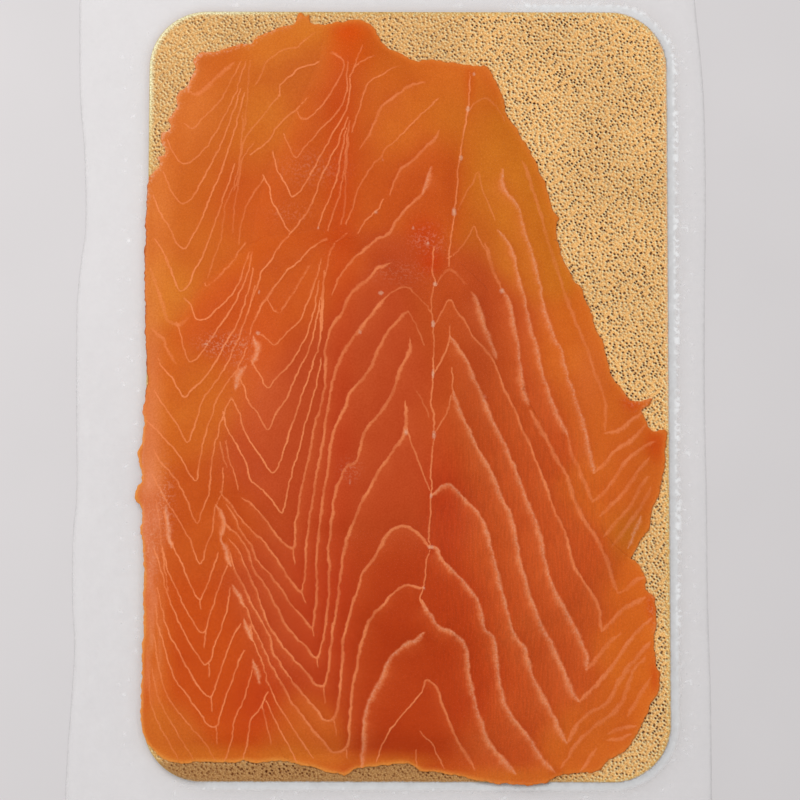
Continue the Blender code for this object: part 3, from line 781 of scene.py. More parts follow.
def cover_of(ring, reach):
    """How far inside a ring each place is: 0 outside, 0.5 on it and 1 within."""
    cover = Raster(ring.min(axis=0) - COVER_ROOM, ring.max(axis=0) + COVER_ROOM, COVER_STEP)
    x, y = cover.centres()
    within = inside_ring(np.column_stack([x.ravel(), y.ravel()]), ring).reshape(x.shape)
    cover.values = spread(within.astype(float), reach / COVER_STEP)
    return cover


def inside_ring(points, ring):
    """Whether each point lies inside a closed ring."""
    x = points[:, 0]
    y = points[:, 1]
    inside = np.zeros(len(points), dtype=bool)
    ends = np.roll(ring, -1, axis=0)
    for (x0, y0), (x1, y1) in zip(ring, ends):
        if y0 == y1:
            continue
        crosses = (y0 > y) != (y1 > y)
        inside ^= crosses & (x < (x1 - x0) * (y - y0) / (y1 - y0) + x0)
    return inside


def thin_out(points, spacing):
    """Keeps the first of the points that fall in each cell of this spacing."""
    cells = np.round(points / spacing).astype(np.int64)
    first = np.unique(cells[:, 0] * 100003 + cells[:, 1], return_index=True)[1]
    return points[np.sort(first)]


def far_from(points, others, spacing):
    """Which points share no cell of this spacing with any of the others."""
    taken = set()
    for a, b in np.round(others / spacing).astype(int):
        taken.add((a, b))
    cells = np.round(points / spacing).astype(int)
    return np.array([(a, b) not in taken for a, b in cells], dtype=bool)


def lattice(low, high, step, seed):
    """A jittered grid of places between two corners."""
    across = np.arange(low[0], high[0], step)
    along = np.arange(low[1], high[1], step)
    x, y = np.meshgrid(across, along, indexing="ij")
    shift = np.random.default_rng(seed).uniform(-0.2 * step, 0.2 * step, (2,) + x.shape)
    return np.stack([(x + shift[0]).ravel(), (y + shift[1]).ravel()], axis=1)


def fill_ring(ring, inner):
    """Triangles over a ring and the points within it, wound upwards."""
    points = np.vstack([ring, inner]) if len(inner) else ring
    count = len(ring)
    edges = [(i, (i + 1) % count) for i in range(count)]
    made = delaunay_2d_cdt([Vector(p) for p in points], edges, [], 0, 1e-5, False)
    places = np.array([tuple(p) for p in made[0]])
    faces = np.array(made[2])
    faces = faces[inside_ring(places[faces].mean(axis=1), ring)]
    one = places[faces[:, 1]] - places[faces[:, 0]]
    other = places[faces[:, 2]] - places[faces[:, 0]]
    down = one[:, 0] * other[:, 1] < one[:, 1] * other[:, 0]
    faces[down] = faces[down][:, ::-1]
    return places, [tuple(int(i) for i in face) for face in faces]


def border_of(faces):
    """The directed edges that only one face uses."""
    edges = set()
    for face in faces:
        edges.update(zip(face, face[1:] + face[:1]))
    return [(a, b) for a, b in edges if (b, a) not in edges]


def nearest_ids(places, points):
    """The number of the nearest of the points to each place."""
    tree = KDTree(len(points))
    for i, point in enumerate(points):
        tree.insert((point[0], point[1], 0.0), i)
    tree.balance()
    return [tree.find((place[0], place[1], 0.0))[1] for place in places]


def close_walls(faces, rims, flat, low_flat):
    """Adds the wall between the rim of a top sheet and the sheet under it."""
    shift = len(flat)
    tops = sorted({a for a, _ in rims})
    lows = dict(zip(tops, nearest_ids(flat[tops], low_flat)))
    for a, b in rims:
        faces.append((b, a, lows[a] + shift, lows[b] + shift))


def add_mesh(name, points, faces, material, smooth_faces):
    """A mesh object from points in millimetres, smooth only over its first faces."""
    mesh = bpy.data.meshes.new(name)
    mesh.from_pydata([tuple(p) for p in points * MM], [], faces)
    mesh.update()
    mesh.materials.append(material)
    mesh.polygons.foreach_set("use_smooth", [i < smooth_faces for i in range(len(mesh.polygons))])
    piece = bpy.data.objects.new(name, mesh)
    bpy.context.scene.collection.objects.link(piece)
    return piece


def add_colours(piece, name, colours):
    """Stores linear colours, one for each vertex of a piece."""
    layer = piece.data.attributes.new(name, "FLOAT_COLOR", "POINT")
    full = np.ones((len(piece.data.vertices), 4))
    full[:, :3] = colours
    layer.data.foreach_set("color", full.ravel())


def add_values(piece, name, values):
    """Stores one number for each vertex of a piece."""
    layer = piece.data.attributes.new(name, "FLOAT", "POINT")
    layer.data.foreach_set("value", np.asarray(values, dtype=float))


def evened(seen):
    """Lifts tones away from the lamp, towards the right and the front."""
    u = np.clip(seen[:, 0], EVEN_ACROSS[0], EVEN_ACROSS[1])
    v = np.clip(seen[:, 1], EVEN_DOWN[0], EVEN_DOWN[1])
    rises = [size * (value - start) / span for value, (start, span, size) in zip((u, v), EVEN_RISE)]
    return EVEN_BASE + rises[0] + rises[1]


def flesh(seen):
    """The flesh's ground colour at each reading."""
    total = np.zeros((len(seen), 3))
    weights = np.full((len(seen), 1), 1e-12)
    for centre, reach, tone in FLESH:
        away = np.linalg.norm(seen - np.array(centre), axis=1)[:, None]
        weight = np.exp(-(away / reach) ** 1.5 * 1.6)
        total += weight * np.array(TONES[tone], dtype=float)
        weights += weight
    cloud = varied(seen[:, 0], seen[:, 1], CLOUDS)
    colour = total / weights * (1.0 + np.array(CLOUD_TINT) * cloud[:, None])
    return colour * evened(seen)[:, None]


def oval(seen, centre, half_sizes):
    """How far each reading is inside a soft oval, from 0 to 1."""
    away = (seen - np.array(centre)) / np.array(half_sizes)
    return 1.0 - fade(0.0, 1.9, np.linalg.norm(away, axis=1))


def line_path(readings):
    """A fat line's course, one reading apart, with a hand-cut unevenness."""
    path = curve(readings, 1.0)
    way = headings(path)
    aside = np.stack([-way[:, 1], way[:, 0]], axis=1)
    wander = varied(path[:, 0], path[:, 1], WANDER)
    ends = np.minimum(np.arange(len(path)), np.arange(len(path))[::-1])
    return path + aside * (wander * fade(0.0, 6.0, ends))[:, None]


def line_cover(seen, kind, strength, readings):
    """A fat line at each reading: nearness, strength, pale side and dark side."""
    width, trail, trail_strength, growth, lean, weight, _ = KINDS[kind]
    cover = np.zeros((4, len(seen)))
    path = line_path(readings)
    way = headings(path)
    room = 1.6 * width * growth * lean + 2.2 * trail + 2.0
    low = path.min(axis=0) - room
    high = path.max(axis=0) + room
    near = np.where(np.all((seen > low) & (seen < high), axis=1))[0]
    last = len(path) - 1
    for part in np.array_split(near, max(1, len(near) // 3000)):
        if not len(part):
            continue
        gap = seen[part][:, None, :] - path[None, :, :]
        nearest = np.argmin((gap ** 2).sum(axis=2), axis=1)
        gap = gap[np.arange(len(part)), nearest]
        heading = way[nearest]
        along = (gap * heading).sum(axis=1)
        aside = heading[:, 0] * gap[:, 1] - heading[:, 1] * gap[:, 0]
        past = (nearest == 0) & (along < 0) | (nearest == last) & (along > 0)
        away = np.where(past, np.hypot(along, aside), np.abs(aside))
        here = path[nearest]
        taper = 0.45 + 0.55 * fade(0.0, 7.0, np.minimum(nearest, last - nearest))
        uneven = varied(here[:, 0], here[:, 1], UNEVEN)
        wide = width * (1.0 + (growth - 1.0) * nearest / last) * taper * (1.0 + uneven)
        level = strength * weight * (0.85 + 0.35 * drift(here[:, 0], here[:, 1], 14.0, 32))
        wide = wide * np.where(aside > 0, lean, 1.0)
        ends = fade(0.0, 16.0, np.minimum(nearest, last - nearest)) * ~past * level / weight
        cover[0, part] = np.clip(1.0 - away / wide, 0.0, 1.0)
        cover[1, part] = np.where(away < 1.6 * wide + 0.8, level, 0.0)
        if trail:
            tail = np.exp(-np.maximum(aside - 0.5 * wide, 0.0) / trail)
            cover[2, part] = np.where(aside > 0, trail_strength * tail * ends, 0.0)
            cover[3, part] = np.where(aside < 0, np.exp(-away / SHADE_REACH) * ends, 0.0)
    return np.clip(cover, 0.0, 1.0)


def paint_fish(seen):
    """Flesh colour at each reading, with nearness to fat, its strength and its whiteness."""
    colour = flesh(seen)
    for centre, half_sizes, strength, tone in SPOTS:
        colour = mixed(colour, strength * oval(seen, centre, half_sizes), TONES[tone])
    fat, level, pale_side, dark_side, white = np.zeros((5, len(seen)))
    for kind, strength, readings in LINES:
        cover = line_cover(seen, kind, strength, readings)
        fat = np.maximum(fat, cover[0])
        level = np.maximum(level, cover[1])
        pale_side = np.maximum(pale_side, cover[2])
        dark_side = np.maximum(dark_side, cover[3])
        white = np.maximum(white, cover[0] * KINDS[kind][-1])
    for centre, half_sizes, strength in KNOTS:
        knot = oval(seen, centre, np.array(half_sizes) * KNOT_SIZE)
        white = np.maximum(white, KNOT_SHARE * strength * knot)
    colour = mixed(colour, dark_side * (1 - pale_side) * SHADE_SHARE, TONES["dusk_shade"])
    colour = mixed(colour, pale_side * HAZE_SHARE, TONES["haze"])
    return colour, fat, level, white


def line_points(skin, cover):
    """Places on and beside the fat lines and knots that fall on one slice."""
    found = []
    for kind, _, readings in LINES:
        width, _, _, growth, lean, _, _ = KINDS[kind]
        path = line_path(readings)[::LINE_STEP]
        half = 0.5 * width * (1 + growth)
        offsets = [0.0, half * lean, -half, half * lean + BESIDE_LINE, -half - BESIDE_LINE]
        if half * lean > 2.0:
            offsets += [0.5 * half * lean, -0.5 * half]
        way = headings(path)
        aside = np.stack([-way[:, 1], way[:, 0]], axis=1)
        for offset in offsets:
            found.append((abs(offset), path + offset * aside))
    found.sort(key=lambda item: item[0])
    readings = [item[1] for item in found]
    for centre, half_sizes, _ in KNOTS:
        half = 1.4 * np.array(half_sizes)
        readings.append(lattice(centre - half, centre + half, 1.0, 43))
    readings = np.vstack(readings)
    height = np.full(len(readings), SLICE_TOPS["slice_front_left"])
    for _ in range(3):
        places = spot(readings, height)
        height = skin.at(places[:, 0], places[:, 1])
    return places[cover.at(places[:, 0], places[:, 1]) > LINES_FROM]


def paint_rim(colour, seen, inside):
    """Amber where the fish thins out, pale with painted highlights at its back left, painted shadow along
    its left edge below that, painted highlights of moist sheen down its left side and a painted sunlit
    band along its left and front edges.
    """
    u = seen[:, 0]
    v = seen[:, 1]
    edge = 1.0 - fade(0.5, 0.97, inside)
    rim = RIM_SHARE * edge
    # pale crumbly rim at the back left, partly painted highlight
    pale = rim * leave(PALE_ACROSS, u) * leave(PALE_DOWN, v)
    # painted shadow along the fish's left edge
    shade = 0.7 * leave((0.5, 0.6), inside) * leave(SHADE_ACROSS, u) * come(SHADE_DOWN, v)
    # painted highlights of moist sheen streaking down the left side
    wet_highlight = 0.6 * leave(WET_HIGHLIGHT_ACROSS, u) * come(WET_HIGHLIGHT_DOWN, v)
    wet_highlight = wet_highlight * (0.6 + 0.5 * drift(u, v / 5.0, 4.0, 45))
    sun = 0.8 * leave((0.5, 0.8), inside) * leave(SUN_ACROSS, u) * come(SUN_DOWN, v)
    sun = np.maximum(sun, 0.7 * edge * come(FOOT_DOWN, v) * leave(FOOT_ACROSS, u))
    for share, name in ((wet_highlight, "wet_highlight"), (rim, "rim"), (pale, "fringe"), (shade, "shade"), (sun, "sunlit")):
        colour = mixed(colour, share, TONES[name])
    return colour


def fleck_share(seen, inside):
    """Where the fish is crumbly: its back left rim and a few places on its face."""
    share = leave((0.55, 0.99), inside)
    share = share * leave(CRUMB_ACROSS, seen[:, 0]) * leave(CRUMB_DOWN, seen[:, 1])
    for centre, half_sizes, strength in FLECKS:
        share = np.maximum(share, strength * oval(seen, centre, half_sizes))
    return share


def draped(lower):
    """Heights that the next slice lies on, widened so that no edge pokes through."""
    over = Raster(lower.low, lower.low, lower.step)
    padded = np.pad(lower.values, 1, mode="edge")
    rows = np.maximum(np.maximum(padded[:-2], padded[1:-1]), padded[2:])
    tops = np.maximum(np.maximum(rows[:, :-2], rows[:, 1:-1]), rows[:, 2:])
    over.values = spread(tops, 0.7)
    return over


def laid_height(x, y, drape, skin, wide):
    """A slice's top: low on what lies under it at its rim, its own height within."""
    base = drape.at(x, y)
    on_board = 1.0 - fade(BOARD_TOP + 0.1, BOARD_TOP + 0.8, base)
    lift = EDGE_SINK + EDGE_CLIMB * fade(0.5, 0.95, wide.at(x, y))
    lift = lift + (EDGE_LIFT - lift) * on_board
    rise = fade(0.46, 1.0, wide.at(x, y))
    return base + lift + np.maximum(skin.at(x, y) - base - lift, 0.0) * rise


def slice_points(name, slices, above):
    """Places for a slice's mesh within its ring: fine on its lines, coarse where hidden."""
    skin, cover, _, ring = slices[name]
    lines = thin_out(line_points(skin, cover), LINE_GAP)
    low = ring.min(axis=0)
    high = ring.max(axis=0)
    grid = lattice(low, high, GRID_STEP, 41)
    grid = grid[cover.at(grid[:, 0], grid[:, 1]) > GRID_FROM]
    grid = grid[far_from(grid, lines, GRID_GAP)]
    way = headings(np.vstack([ring[-1:], ring, ring[:1]]))[1:-1]
    inward = np.stack([-way[:, 1], way[:, 0]], axis=1)
    rows = np.vstack([ring[::2] + away * inward[::2] for away in RIM_ROWS])
    rows = rows[cover.at(rows[:, 0], rows[:, 1]) > ROWS_FROM]
    inner = thin_out(np.vstack([lines, rows]), LINE_GAP)
    inner = np.vstack([inner, grid[far_from(grid, rows, GRID_GAP)]])
    for other in above:
        hidden = slices[other][2].at(inner[:, 0], inner[:, 1]) > HIDDEN_FROM
        inner = inner[~hidden]
    coarse = lattice(low, high, COARSE_STEP, 42)
    coarse = coarse[cover.at(coarse[:, 0], coarse[:, 1]) > COARSE_FROM]
    coarse = coarse[far_from(coarse, inner, COARSE_GAP)]
    inner = np.vstack([inner, coarse])
    return inner[inside_ring(inner, ring)], coarse[inside_ring(coarse, ring)]


def build_slice(name, slices, above, lower, union):
    """One slice of fish with its feathered rim, raised fat lines and colours."""
    skin, cover, wide, ring = slices[name]
    inner, coarse = slice_points(name, slices, above)
    flat, faces = fill_ring(ring, inner)
    x = flat[:, 0]
    y = flat[:, 1]

    xs, ys = lower.centres()
    drape = draped(lower)
    laid = laid_height(xs, ys, drape, skin, wide)
    top = np.column_stack([flat, laid_height(x, y, drape, skin, wide)])
    seen = readings_of(top)
    colour, fat, level, white = paint_fish(seen)
    colour = paint_rim(colour, seen, union.at(x, y))
    fleck = fleck_share(seen, union.at(x, y))
    away = (seen - np.array(STREAK_CENTRE)) / np.array(STREAK_HALF)
    streaks = leave((0.6, 1.2), np.hypot(away[:, 0], away[:, 1]))
    rise = FAT_RISE * level * fade(0.2, 0.8, fat) + varied(x, y, HUMPS)
    top[:, 2] += rise * fade(0.5, 0.95, cover.at(x, y))
    for other in above:
        top[:, 2] -= HIDDEN_SINK * fade(0.6, 0.95, slices[other][2].at(x, y))

    low_flat, low_faces = fill_ring(ring, coarse)
    bottom = np.column_stack([low_flat, np.full(len(low_flat), UNDERSIDE)])
    rims = border_of(faces)
    top_faces = len(faces)
    faces = faces + [tuple(i + len(top) for i in reversed(face)) for face in low_faces]
    close_walls(faces, rims, flat, low_flat)
    piece = add_mesh(name + "_fish", np.vstack([top, bottom]), faces, salmon, top_faces)
    plain = linear(TONES["deep"]) * np.ones((len(bottom), 3))
    add_colours(piece, "paint", np.vstack([linear(colour), plain]))
    none = np.zeros(len(bottom))
    values = {"fat": fat, "level": level, "white": white, "fleck": fleck, "streak": streaks}
    for label, value in values.items():
        add_values(piece, label, np.concatenate([value, none]))
    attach(piece, "root")
    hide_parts(name)
    covered = cover.at(xs, ys) > 0.5
    lower.values = np.where(covered, np.maximum(laid, lower.values), lower.values)


def slice_ring(name, seed):
    """A slice's outline in the frame, with the small nicks of a cut edge."""
    height = SLICE_TOPS[name]
    ring = curve(spot(OUTLINES[name], height), RING_STEP, closed=True)[::-1]
    way = headings(np.vstack([ring[-1:], ring, ring[:1]]))[1:-1]
    out = np.stack([way[:, 1], -way[:, 0]], axis=1)
    nicks = sum(size * drift(ring[:, 0], ring[:, 1], reach, seed) for reach, size in NICKS)
    return ring + out * nicks[:, None]


def build_fish():
    """All slices of the stack, each laid on the ones before it."""
    slices = {}
    for order, name in enumerate(SLICES):
        ring = slice_ring(name, 60 + order)
        skin = cad_skin(name)
        reach = FRONT_REACH if name == "slice_front_right" else RIM_REACH
        slices[name] = (skin, cover_of(ring, SLICE_SOFT), cover_of(ring, reach), ring)
    half = (0.5 * POUCH_W + STACK_ROOM, 0.5 * POUCH_L + STACK_ROOM)
    lower = Raster((-half[0], -half[1]), half, STACK_STEP)
    union = Raster((-half[0], -half[1]), half, STACK_STEP)
    x, y = lower.centres()
    lower.values[:] = BOARD_TOP
    for name in SLICES:
        cover = cover_of(slices[name][3], STACK_SOFT)
        union.values = np.maximum(union.values, cover.at(x, y))
    for order, name in enumerate(SLICES):
        build_slice(name, slices, SLICES[order + 1:], lower, union)
    return lower, union


def shader(name):
    """A new material with its shader, and its node tree."""
    material = bpy.data.materials.new(name)
    material.use_nodes = True
    tree = material.node_tree
    return material, tree, tree.nodes["Principled BSDF"]


def add_node(tree, kind, **settings):
    """A shader node with some of its settings and sockets filled in."""
    node = tree.nodes.new(kind)
    for key, value in settings.items():
        if hasattr(node, key):
            setattr(node, key, value)
        else:
            node.inputs[key.replace("_", " ")].default_value = value
    return node


def object_place(tree, size, turn=0.0, stretch=(1.0, 1.0, 1.0), shift=(0.0, 0.0)):
    """Object coordinates scaled so that one unit is a size in millimetres."""
    place = add_node(tree, "ShaderNodeTexCoord")
    moved = add_node(tree, "ShaderNodeMapping")
    moved.inputs["Location"].default_value = (shift[0] * MM, shift[1] * MM, 0.0)
    moved.inputs["Rotation"].default_value = (0.0, 0.0, math.radians(turn))
    scale = add_node(tree, "ShaderNodeMapping")
    scale.inputs["Scale"].default_value = [1.0 / (size * MM * s) for s in stretch]
    tree.links.new(place.outputs["Object"], moved.inputs["Vector"])
    tree.links.new(moved.outputs["Vector"], scale.inputs["Vector"])
    return scale.outputs["Vector"]


def object_noise(tree, size, detail=2.0, stretch=(1.0, 1.0, 1.0)):
    """Noise fixed to the object, with features about one size across, in mm."""
    noise = add_node(tree, "ShaderNodeTexNoise", Scale=1.0, Detail=detail)
    tree.links.new(object_place(tree, size, 0.0, stretch), noise.inputs["Vector"])
    return noise.outputs["Fac"]


def pits(tree, shift):
    """Distance to the middles of scattered pits, and each pit's own number."""
    cells = add_node(tree, "ShaderNodeTexVoronoi", Scale=1.0, Randomness=0.95)
    cells.voronoi_dimensions = "2D"
    place = object_place(tree, PIT_PITCH, PIT_TURN, PIT_STRETCH, shift)
    tree.links.new(place, cells.inputs["Vector"])
    number = add_node(tree, "ShaderNodeSeparateColor")
    tree.links.new(cells.outputs["Color"], number.inputs["Color"])
    return cells.outputs["Distance"], number.outputs["Red"]


def remap(tree, value, low, high, new_low, new_high):
    """A value stretched from one range to another."""
    node = add_node(tree, "ShaderNodeMapRange")
    node.inputs["From Min"].default_value = low
    node.inputs["From Max"].default_value = high
    node.inputs["To Min"].default_value = new_low
    node.inputs["To Max"].default_value = new_high
    tree.links.new(value, node.inputs["Value"])
    return node.outputs["Result"]


def times(tree, colour, value):
    """A colour multiplied by a value."""
    node = add_node(tree, "ShaderNodeVectorMath", operation="SCALE")
    tree.links.new(colour, node.inputs[0])
    tree.links.new(value, node.inputs["Scale"])
    return node.outputs["Vector"]


def scaled(tree, value, factor):
    """A value multiplied by a fixed number."""
    node = add_node(tree, "ShaderNodeMath", operation="MULTIPLY")
    tree.links.new(value, node.inputs[0])
    node.inputs[1].default_value = factor
    return node.outputs["Value"]


def multiply(tree, one, other):
    """The product of two values."""
    node = add_node(tree, "ShaderNodeMath", operation="MULTIPLY")
    tree.links.new(one, node.inputs[0])
    tree.links.new(other, node.inputs[1])
    return node.outputs["Value"]


def blend(tree, share, colour, tone):
    """A colour carried towards a fixed tone by a share."""
    node = add_node(tree, "ShaderNodeMix", data_type="RGBA")
    tree.links.new(share, node.inputs[0])
    tree.links.new(colour, node.inputs[6])
    node.inputs[7].default_value = tuple(linear(tone)) + (1.0,)
    return node.outputs[2]


def grained(tree, colour, noise, weights):
    """A colour varied by noise round 0, by a weight for each of its channels."""
    change = add_node(tree, "ShaderNodeVectorMath", operation="MULTIPLY_ADD")
    tree.links.new(noise, change.inputs[0])
    change.inputs[1].default_value = weights
    change.inputs[2].default_value = (1.0, 1.0, 1.0)
    node = add_node(tree, "ShaderNodeVectorMath", operation="MULTIPLY")
    tree.links.new(colour, node.inputs[0])
    tree.links.new(change.outputs["Vector"], node.inputs[1])
    return node.outputs["Vector"]


def torn(tree, value, noise, low, high):
    """A value cut off between two levels, its border torn by noise."""
    edge = add_node(tree, "ShaderNodeMath", operation="ADD")
    tree.links.new(value, edge.inputs[0])
    tree.links.new(noise, edge.inputs[1])
    return remap(tree, edge.outputs["Value"], low, high, 0.0, 1.0)


def stored(tree, name):
    """A value stored on the mesh's vertices."""
    return add_node(tree, "ShaderNodeAttribute", attribute_name=name).outputs["Fac"]


def stored_colour(tree, name):
    """A colour stored on the mesh's vertices."""
    return add_node(tree, "ShaderNodeAttribute", attribute_name=name).outputs["Color"]


def roughen(tree, skin, size, low, high):
    """Roughness that wanders between two values."""
    rough = remap(tree, object_noise(tree, size), 0.3, 0.7, low, high)
    tree.links.new(rough, skin.inputs["Roughness"])


def emboss(tree, skin, height, strength, distance):
    """Fine relief by a bump of this strength and depth in millimetres."""
    bump = add_node(tree, "ShaderNodeBump", Strength=strength, Distance=distance * MM)
    tree.links.new(height, bump.inputs["Height"])
    tree.links.new(bump.outputs["Normal"], skin.inputs["Normal"])


def salmon_material():
    """Moist cured fish: its painted colours with torn fat lines, grain and streaks."""
    material, tree, skin = shader("salmon")
    tear = remap(tree, object_noise(tree, 0.6, 3.0), 0.3, 0.7, -0.11, 0.11)
    line = multiply(tree, torn(tree, stored(tree, "fat"), tear, 0.24, 0.74), stored(tree, "level"))
    colour = stored_colour(tree, "paint")
    colour = blend(tree, scaled(tree, line, FAT_SHARE), colour, TONES["pale_fat"])
    knot = torn(tree, stored(tree, "white"), tear, 0.26, 0.7)
    colour = blend(tree, scaled(tree, knot, WHITE_SHARE), colour, TONES["white_fat"])
    crumbs = remap(tree, object_noise(tree, 0.7, 4.0), 0.50, 0.62, 0.0, 0.6)
    colour = blend(tree, multiply(tree, stored(tree, "fleck"), crumbs), colour, TONES["fleck"])

    grain = remap(tree, object_noise(tree, 0.5, 3.0), 0.3, 0.7, -1.0, 1.0)
    colour = grained(tree, colour, grain, FISH_GRAIN)
    lines = remap(tree, object_noise(tree, 0.55, 2.0, (1.0, 9.0, 1.0)), 0.35, 0.65, -0.07, 0.07)
    streak = add_node(tree, "ShaderNodeMath", operation="MULTIPLY_ADD")
    tree.links.new(lines, streak.inputs[0])
    tree.links.new(remap(tree, stored(tree, "streak"), 0.0, 1.0, 0.12, 1.0), streak.inputs[1])
    streak.inputs[2].default_value = 1.0
    colour = times(tree, colour, streak.outputs["Value"])
    tree.links.new(colour, skin.inputs["Base Color"])
    skin.inputs["Specular IOR Level"].default_value = 0.05
    roughen(tree, skin, 4.0, 0.40, 0.56)
    emboss(tree, skin, object_noise(tree, 0.8, 3.0), 0.2, 0.08)
    return material


def gold_material():
    """Embossed gold card: slanting pits darkened by painted shade in their hollows, each with a painted
    glint highlight at its lower left.
    """
    material, tree, skin = shader("gold_board")
    depth = stored(tree, "emboss")
    speckle = remap(tree, object_noise(tree, 0.4, 1.0), 0.3, 0.7, -1.0, 1.0)
    ground = grained(tree, stored_colour(tree, "paint"), speckle, GOLD_GRAIN)
    near, lot = pits(tree, (0.0, 0.0))
    beside, beside_lot = pits(tree, GLINT_SHIFT)
    # painted glint highlight just beside each pit
    shine = remap(tree, beside, 0.14, 0.44, 1.0, 0.0)
    shine = multiply(tree, shine, remap(tree, beside_lot, 0.0, 1.0, 0.4, 0.9))
    ground = blend(tree, multiply(tree, shine, stored(tree, "gleam")), ground, GOLD["glint"])
    # painted shade in each pit's hollow; the deepest pits get darker painted shade below
    pit_shade = remap(tree, near, 0.18, 0.48, 1.0, 0.0)
    pit_shade = multiply(tree, pit_shade, remap(tree, lot, 0.0, 0.8, 0.2, 0.95))
    ground = blend(tree, multiply(tree, pit_shade, depth), ground, GOLD["pit"])
    deep = remap(tree, near, 0.14, 0.36, 1.0, 0.0)
    deep = multiply(tree, deep, remap(tree, lot, 0.4, 1.0, 0.0, 1.0))
    deep = multiply(tree, deep, remap(tree, depth, 0.7, 1.0, 0.0, 1.0))
    ground = blend(tree, deep, ground, GOLD["deep_pit_shade"])
    tree.links.new(ground, skin.inputs["Base Color"])
    skin.inputs["Metallic"].default_value = 0.15
    skin.inputs["Specular IOR Level"].default_value = 0.08
    roughen(tree, skin, 2.0, 0.38, 0.55)
    emboss(tree, skin, remap(tree, near, 0.05, 0.45, 0.0, 1.0), 0.25, 0.1)
    return material


def film_material():
    """Clear film: nearly invisible, with faint haze, glints on its folds, and sparkles painted into its
    milk and tint.
    """
    material, tree, skin = shader("clear_film")
    cloud = remap(tree, object_noise(tree, 3.0, 3.0), 0.3, 0.7, 0.9, 1.1)
    tree.links.new(multiply(tree, stored(tree, "milk"), cloud), skin.inputs["Alpha"])
    tree.links.new(stored_colour(tree, "tint"), skin.inputs["Base Color"])
    skin.inputs["Roughness"].default_value = 0.25
    skin.inputs["Specular IOR Level"].default_value = 0.5
    emboss(tree, skin, object_noise(tree, 1.2, 2.0), 0.25, 0.1)
    return material


def floor_material():
    """The studio's pale floor."""
    material, tree, skin = shader("studio_floor")
    tone = remap(tree, object_noise(tree, 60.0), 0.3, 0.7, 0.985, 1.015)
    paint = add_node(tree, "ShaderNodeRGB")
    paint.outputs[0].default_value = tuple(linear(FLOOR_TONE)) + (1.0,)
    tree.links.new(times(tree, paint.outputs[0], tone), skin.inputs["Base Color"])
    skin.inputs["Roughness"].default_value = 0.9
    skin.inputs["Specular IOR Level"].default_value = 0.0
    return material


def rounded_board(inset, count):
    """The board's rounded outline this far inside its edge, counter-clockwise."""
    half_w = 0.5 * BOARD_W - inset
    half_l = 0.5 * BOARD_L - inset
    radius = BOARD_R - inset
    ring = []
    corners = [(1, -1, -90), (1, 1, 0), (-1, 1, 90), (-1, -1, 180)]
    for sx, sy, first in corners:
        for turn in range(0, 91, 6):
            angle = math.radians(first + turn)
            x = BOARD_X + sx * (half_w - radius) + radius * math.cos(angle)
            y = sy * (half_l - radius) + radius * math.sin(angle)
            ring.append((x, y))
    ring = np.array(ring + ring[:1])
    along = np.concatenate([[0.0], np.cumsum(np.linalg.norm(np.diff(ring, axis=0), axis=1))])
    stops = np.linspace(0.0, along[-1], count, endpoint=False)
    return np.stack([np.interp(stops, along, ring[:, 0]), np.interp(stops, along, ring[:, 1])], axis=1)


def paint_board(top):
    """The board's colour at each point, with a painted highlight on its rim near the top left corner, and
    how strong the painted shade in its pits and its painted glints are.
    """
    seen = readings_of(top)
    u = seen[:, 0]
    v = seen[:, 1]
    x = top[:, 0]
    y = top[:, 1]
    border = leave((0.5, 1.5), -board_gap(x, y))
    # painted highlight on the rim near the top left corner
    corner = border * leave(CORNER_HIGHLIGHT_SUM, u + v)
    blush = border * come(BLUSH_ACROSS, u) * leave(BLUSH_DOWN, v)
    strip = come(STRIP_DOWN, v) * leave(STRIP_ACROSS, u)
    open_side = come(OPEN_ACROSS, u)
    tone = np.array(GOLD["ground"], dtype=float) * np.ones((len(top), 3))
    tone = tone * (1.0 + 0.035 * drift(x, y, 16.0, 75))[:, None]
    shares = {"rim": border * 0.5, "corner": corner, "blush": blush * 0.8, "strip": strip}
    for name, share in shares.items():
        tone = mixed(tone, share, GOLD[name])
    tone = tone * (evened(seen) * (0.95 + 0.05 * open_side))[:, None]
    gleam = (0.7 + 0.3 * open_side) * (1.0 - 0.9 * strip)
    depth = 0.78 + 0.22 * open_side
    depth = depth + (0.9 - depth) * strip
    depth = depth * (1.0 - 0.9 * border) * (1.0 + 0.2 * drift(x, y, 9.0, 76))
    return tone, depth, gleam


def build_board():
    """The gold board with a soft rim, its pattern deepest beside the fish."""
    count = BOARD_COUNT
    ring = rounded_board(0.0, count)
    inset = rounded_board(BOARD_CHAMFER, count)
    inner = [rounded_board(away, count // 2) for away in BOARD_ROWS]
    grid = lattice(ring.min(axis=0), ring.max(axis=0), BOARD_STEP, 73)
    grid = grid[board_gap(grid[:, 0], grid[:, 1]) < -2.8]
    flat, faces = fill_ring(inset, np.vstack(inner + [grid]))
    top = np.column_stack([flat, np.full(len(flat), BOARD_TOP)])
    tone, depth, gleam = paint_board(top)

    inner_ids = nearest_ids(inset, flat)
    shift = len(top)
    wall_top = np.column_stack([ring, np.full(count, BOARD_TOP - BOARD_CHAMFER)])
    wall_low = np.column_stack([ring, np.full(count, BOARD_LOW)])
    for i in range(count):
        j = (i + 1) % count
        faces.append((inner_ids[i], shift + i, shift + j, inner_ids[j]))
        faces.append((shift + i, shift + count + i, shift + count + j, shift + j))
    faces.append(tuple(range(shift + 2 * count - 1, shift + count - 1, -1)))
    rim = np.array(GOLD["rim"], dtype=float) * np.ones((2 * count, 3))
    points = np.vstack([top, wall_top, wall_low])
    piece = add_mesh("embossed_board", points, faces, gold, len(faces) - 1)
    add_colours(piece, "paint", linear(np.vstack([tone, rim])))
    add_values(piece, "emboss", np.concatenate([depth, np.zeros(2 * count)]))
    add_values(piece, "gleam", np.concatenate([gleam, np.zeros(2 * count)]))
    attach(piece, "root")
    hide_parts("board")


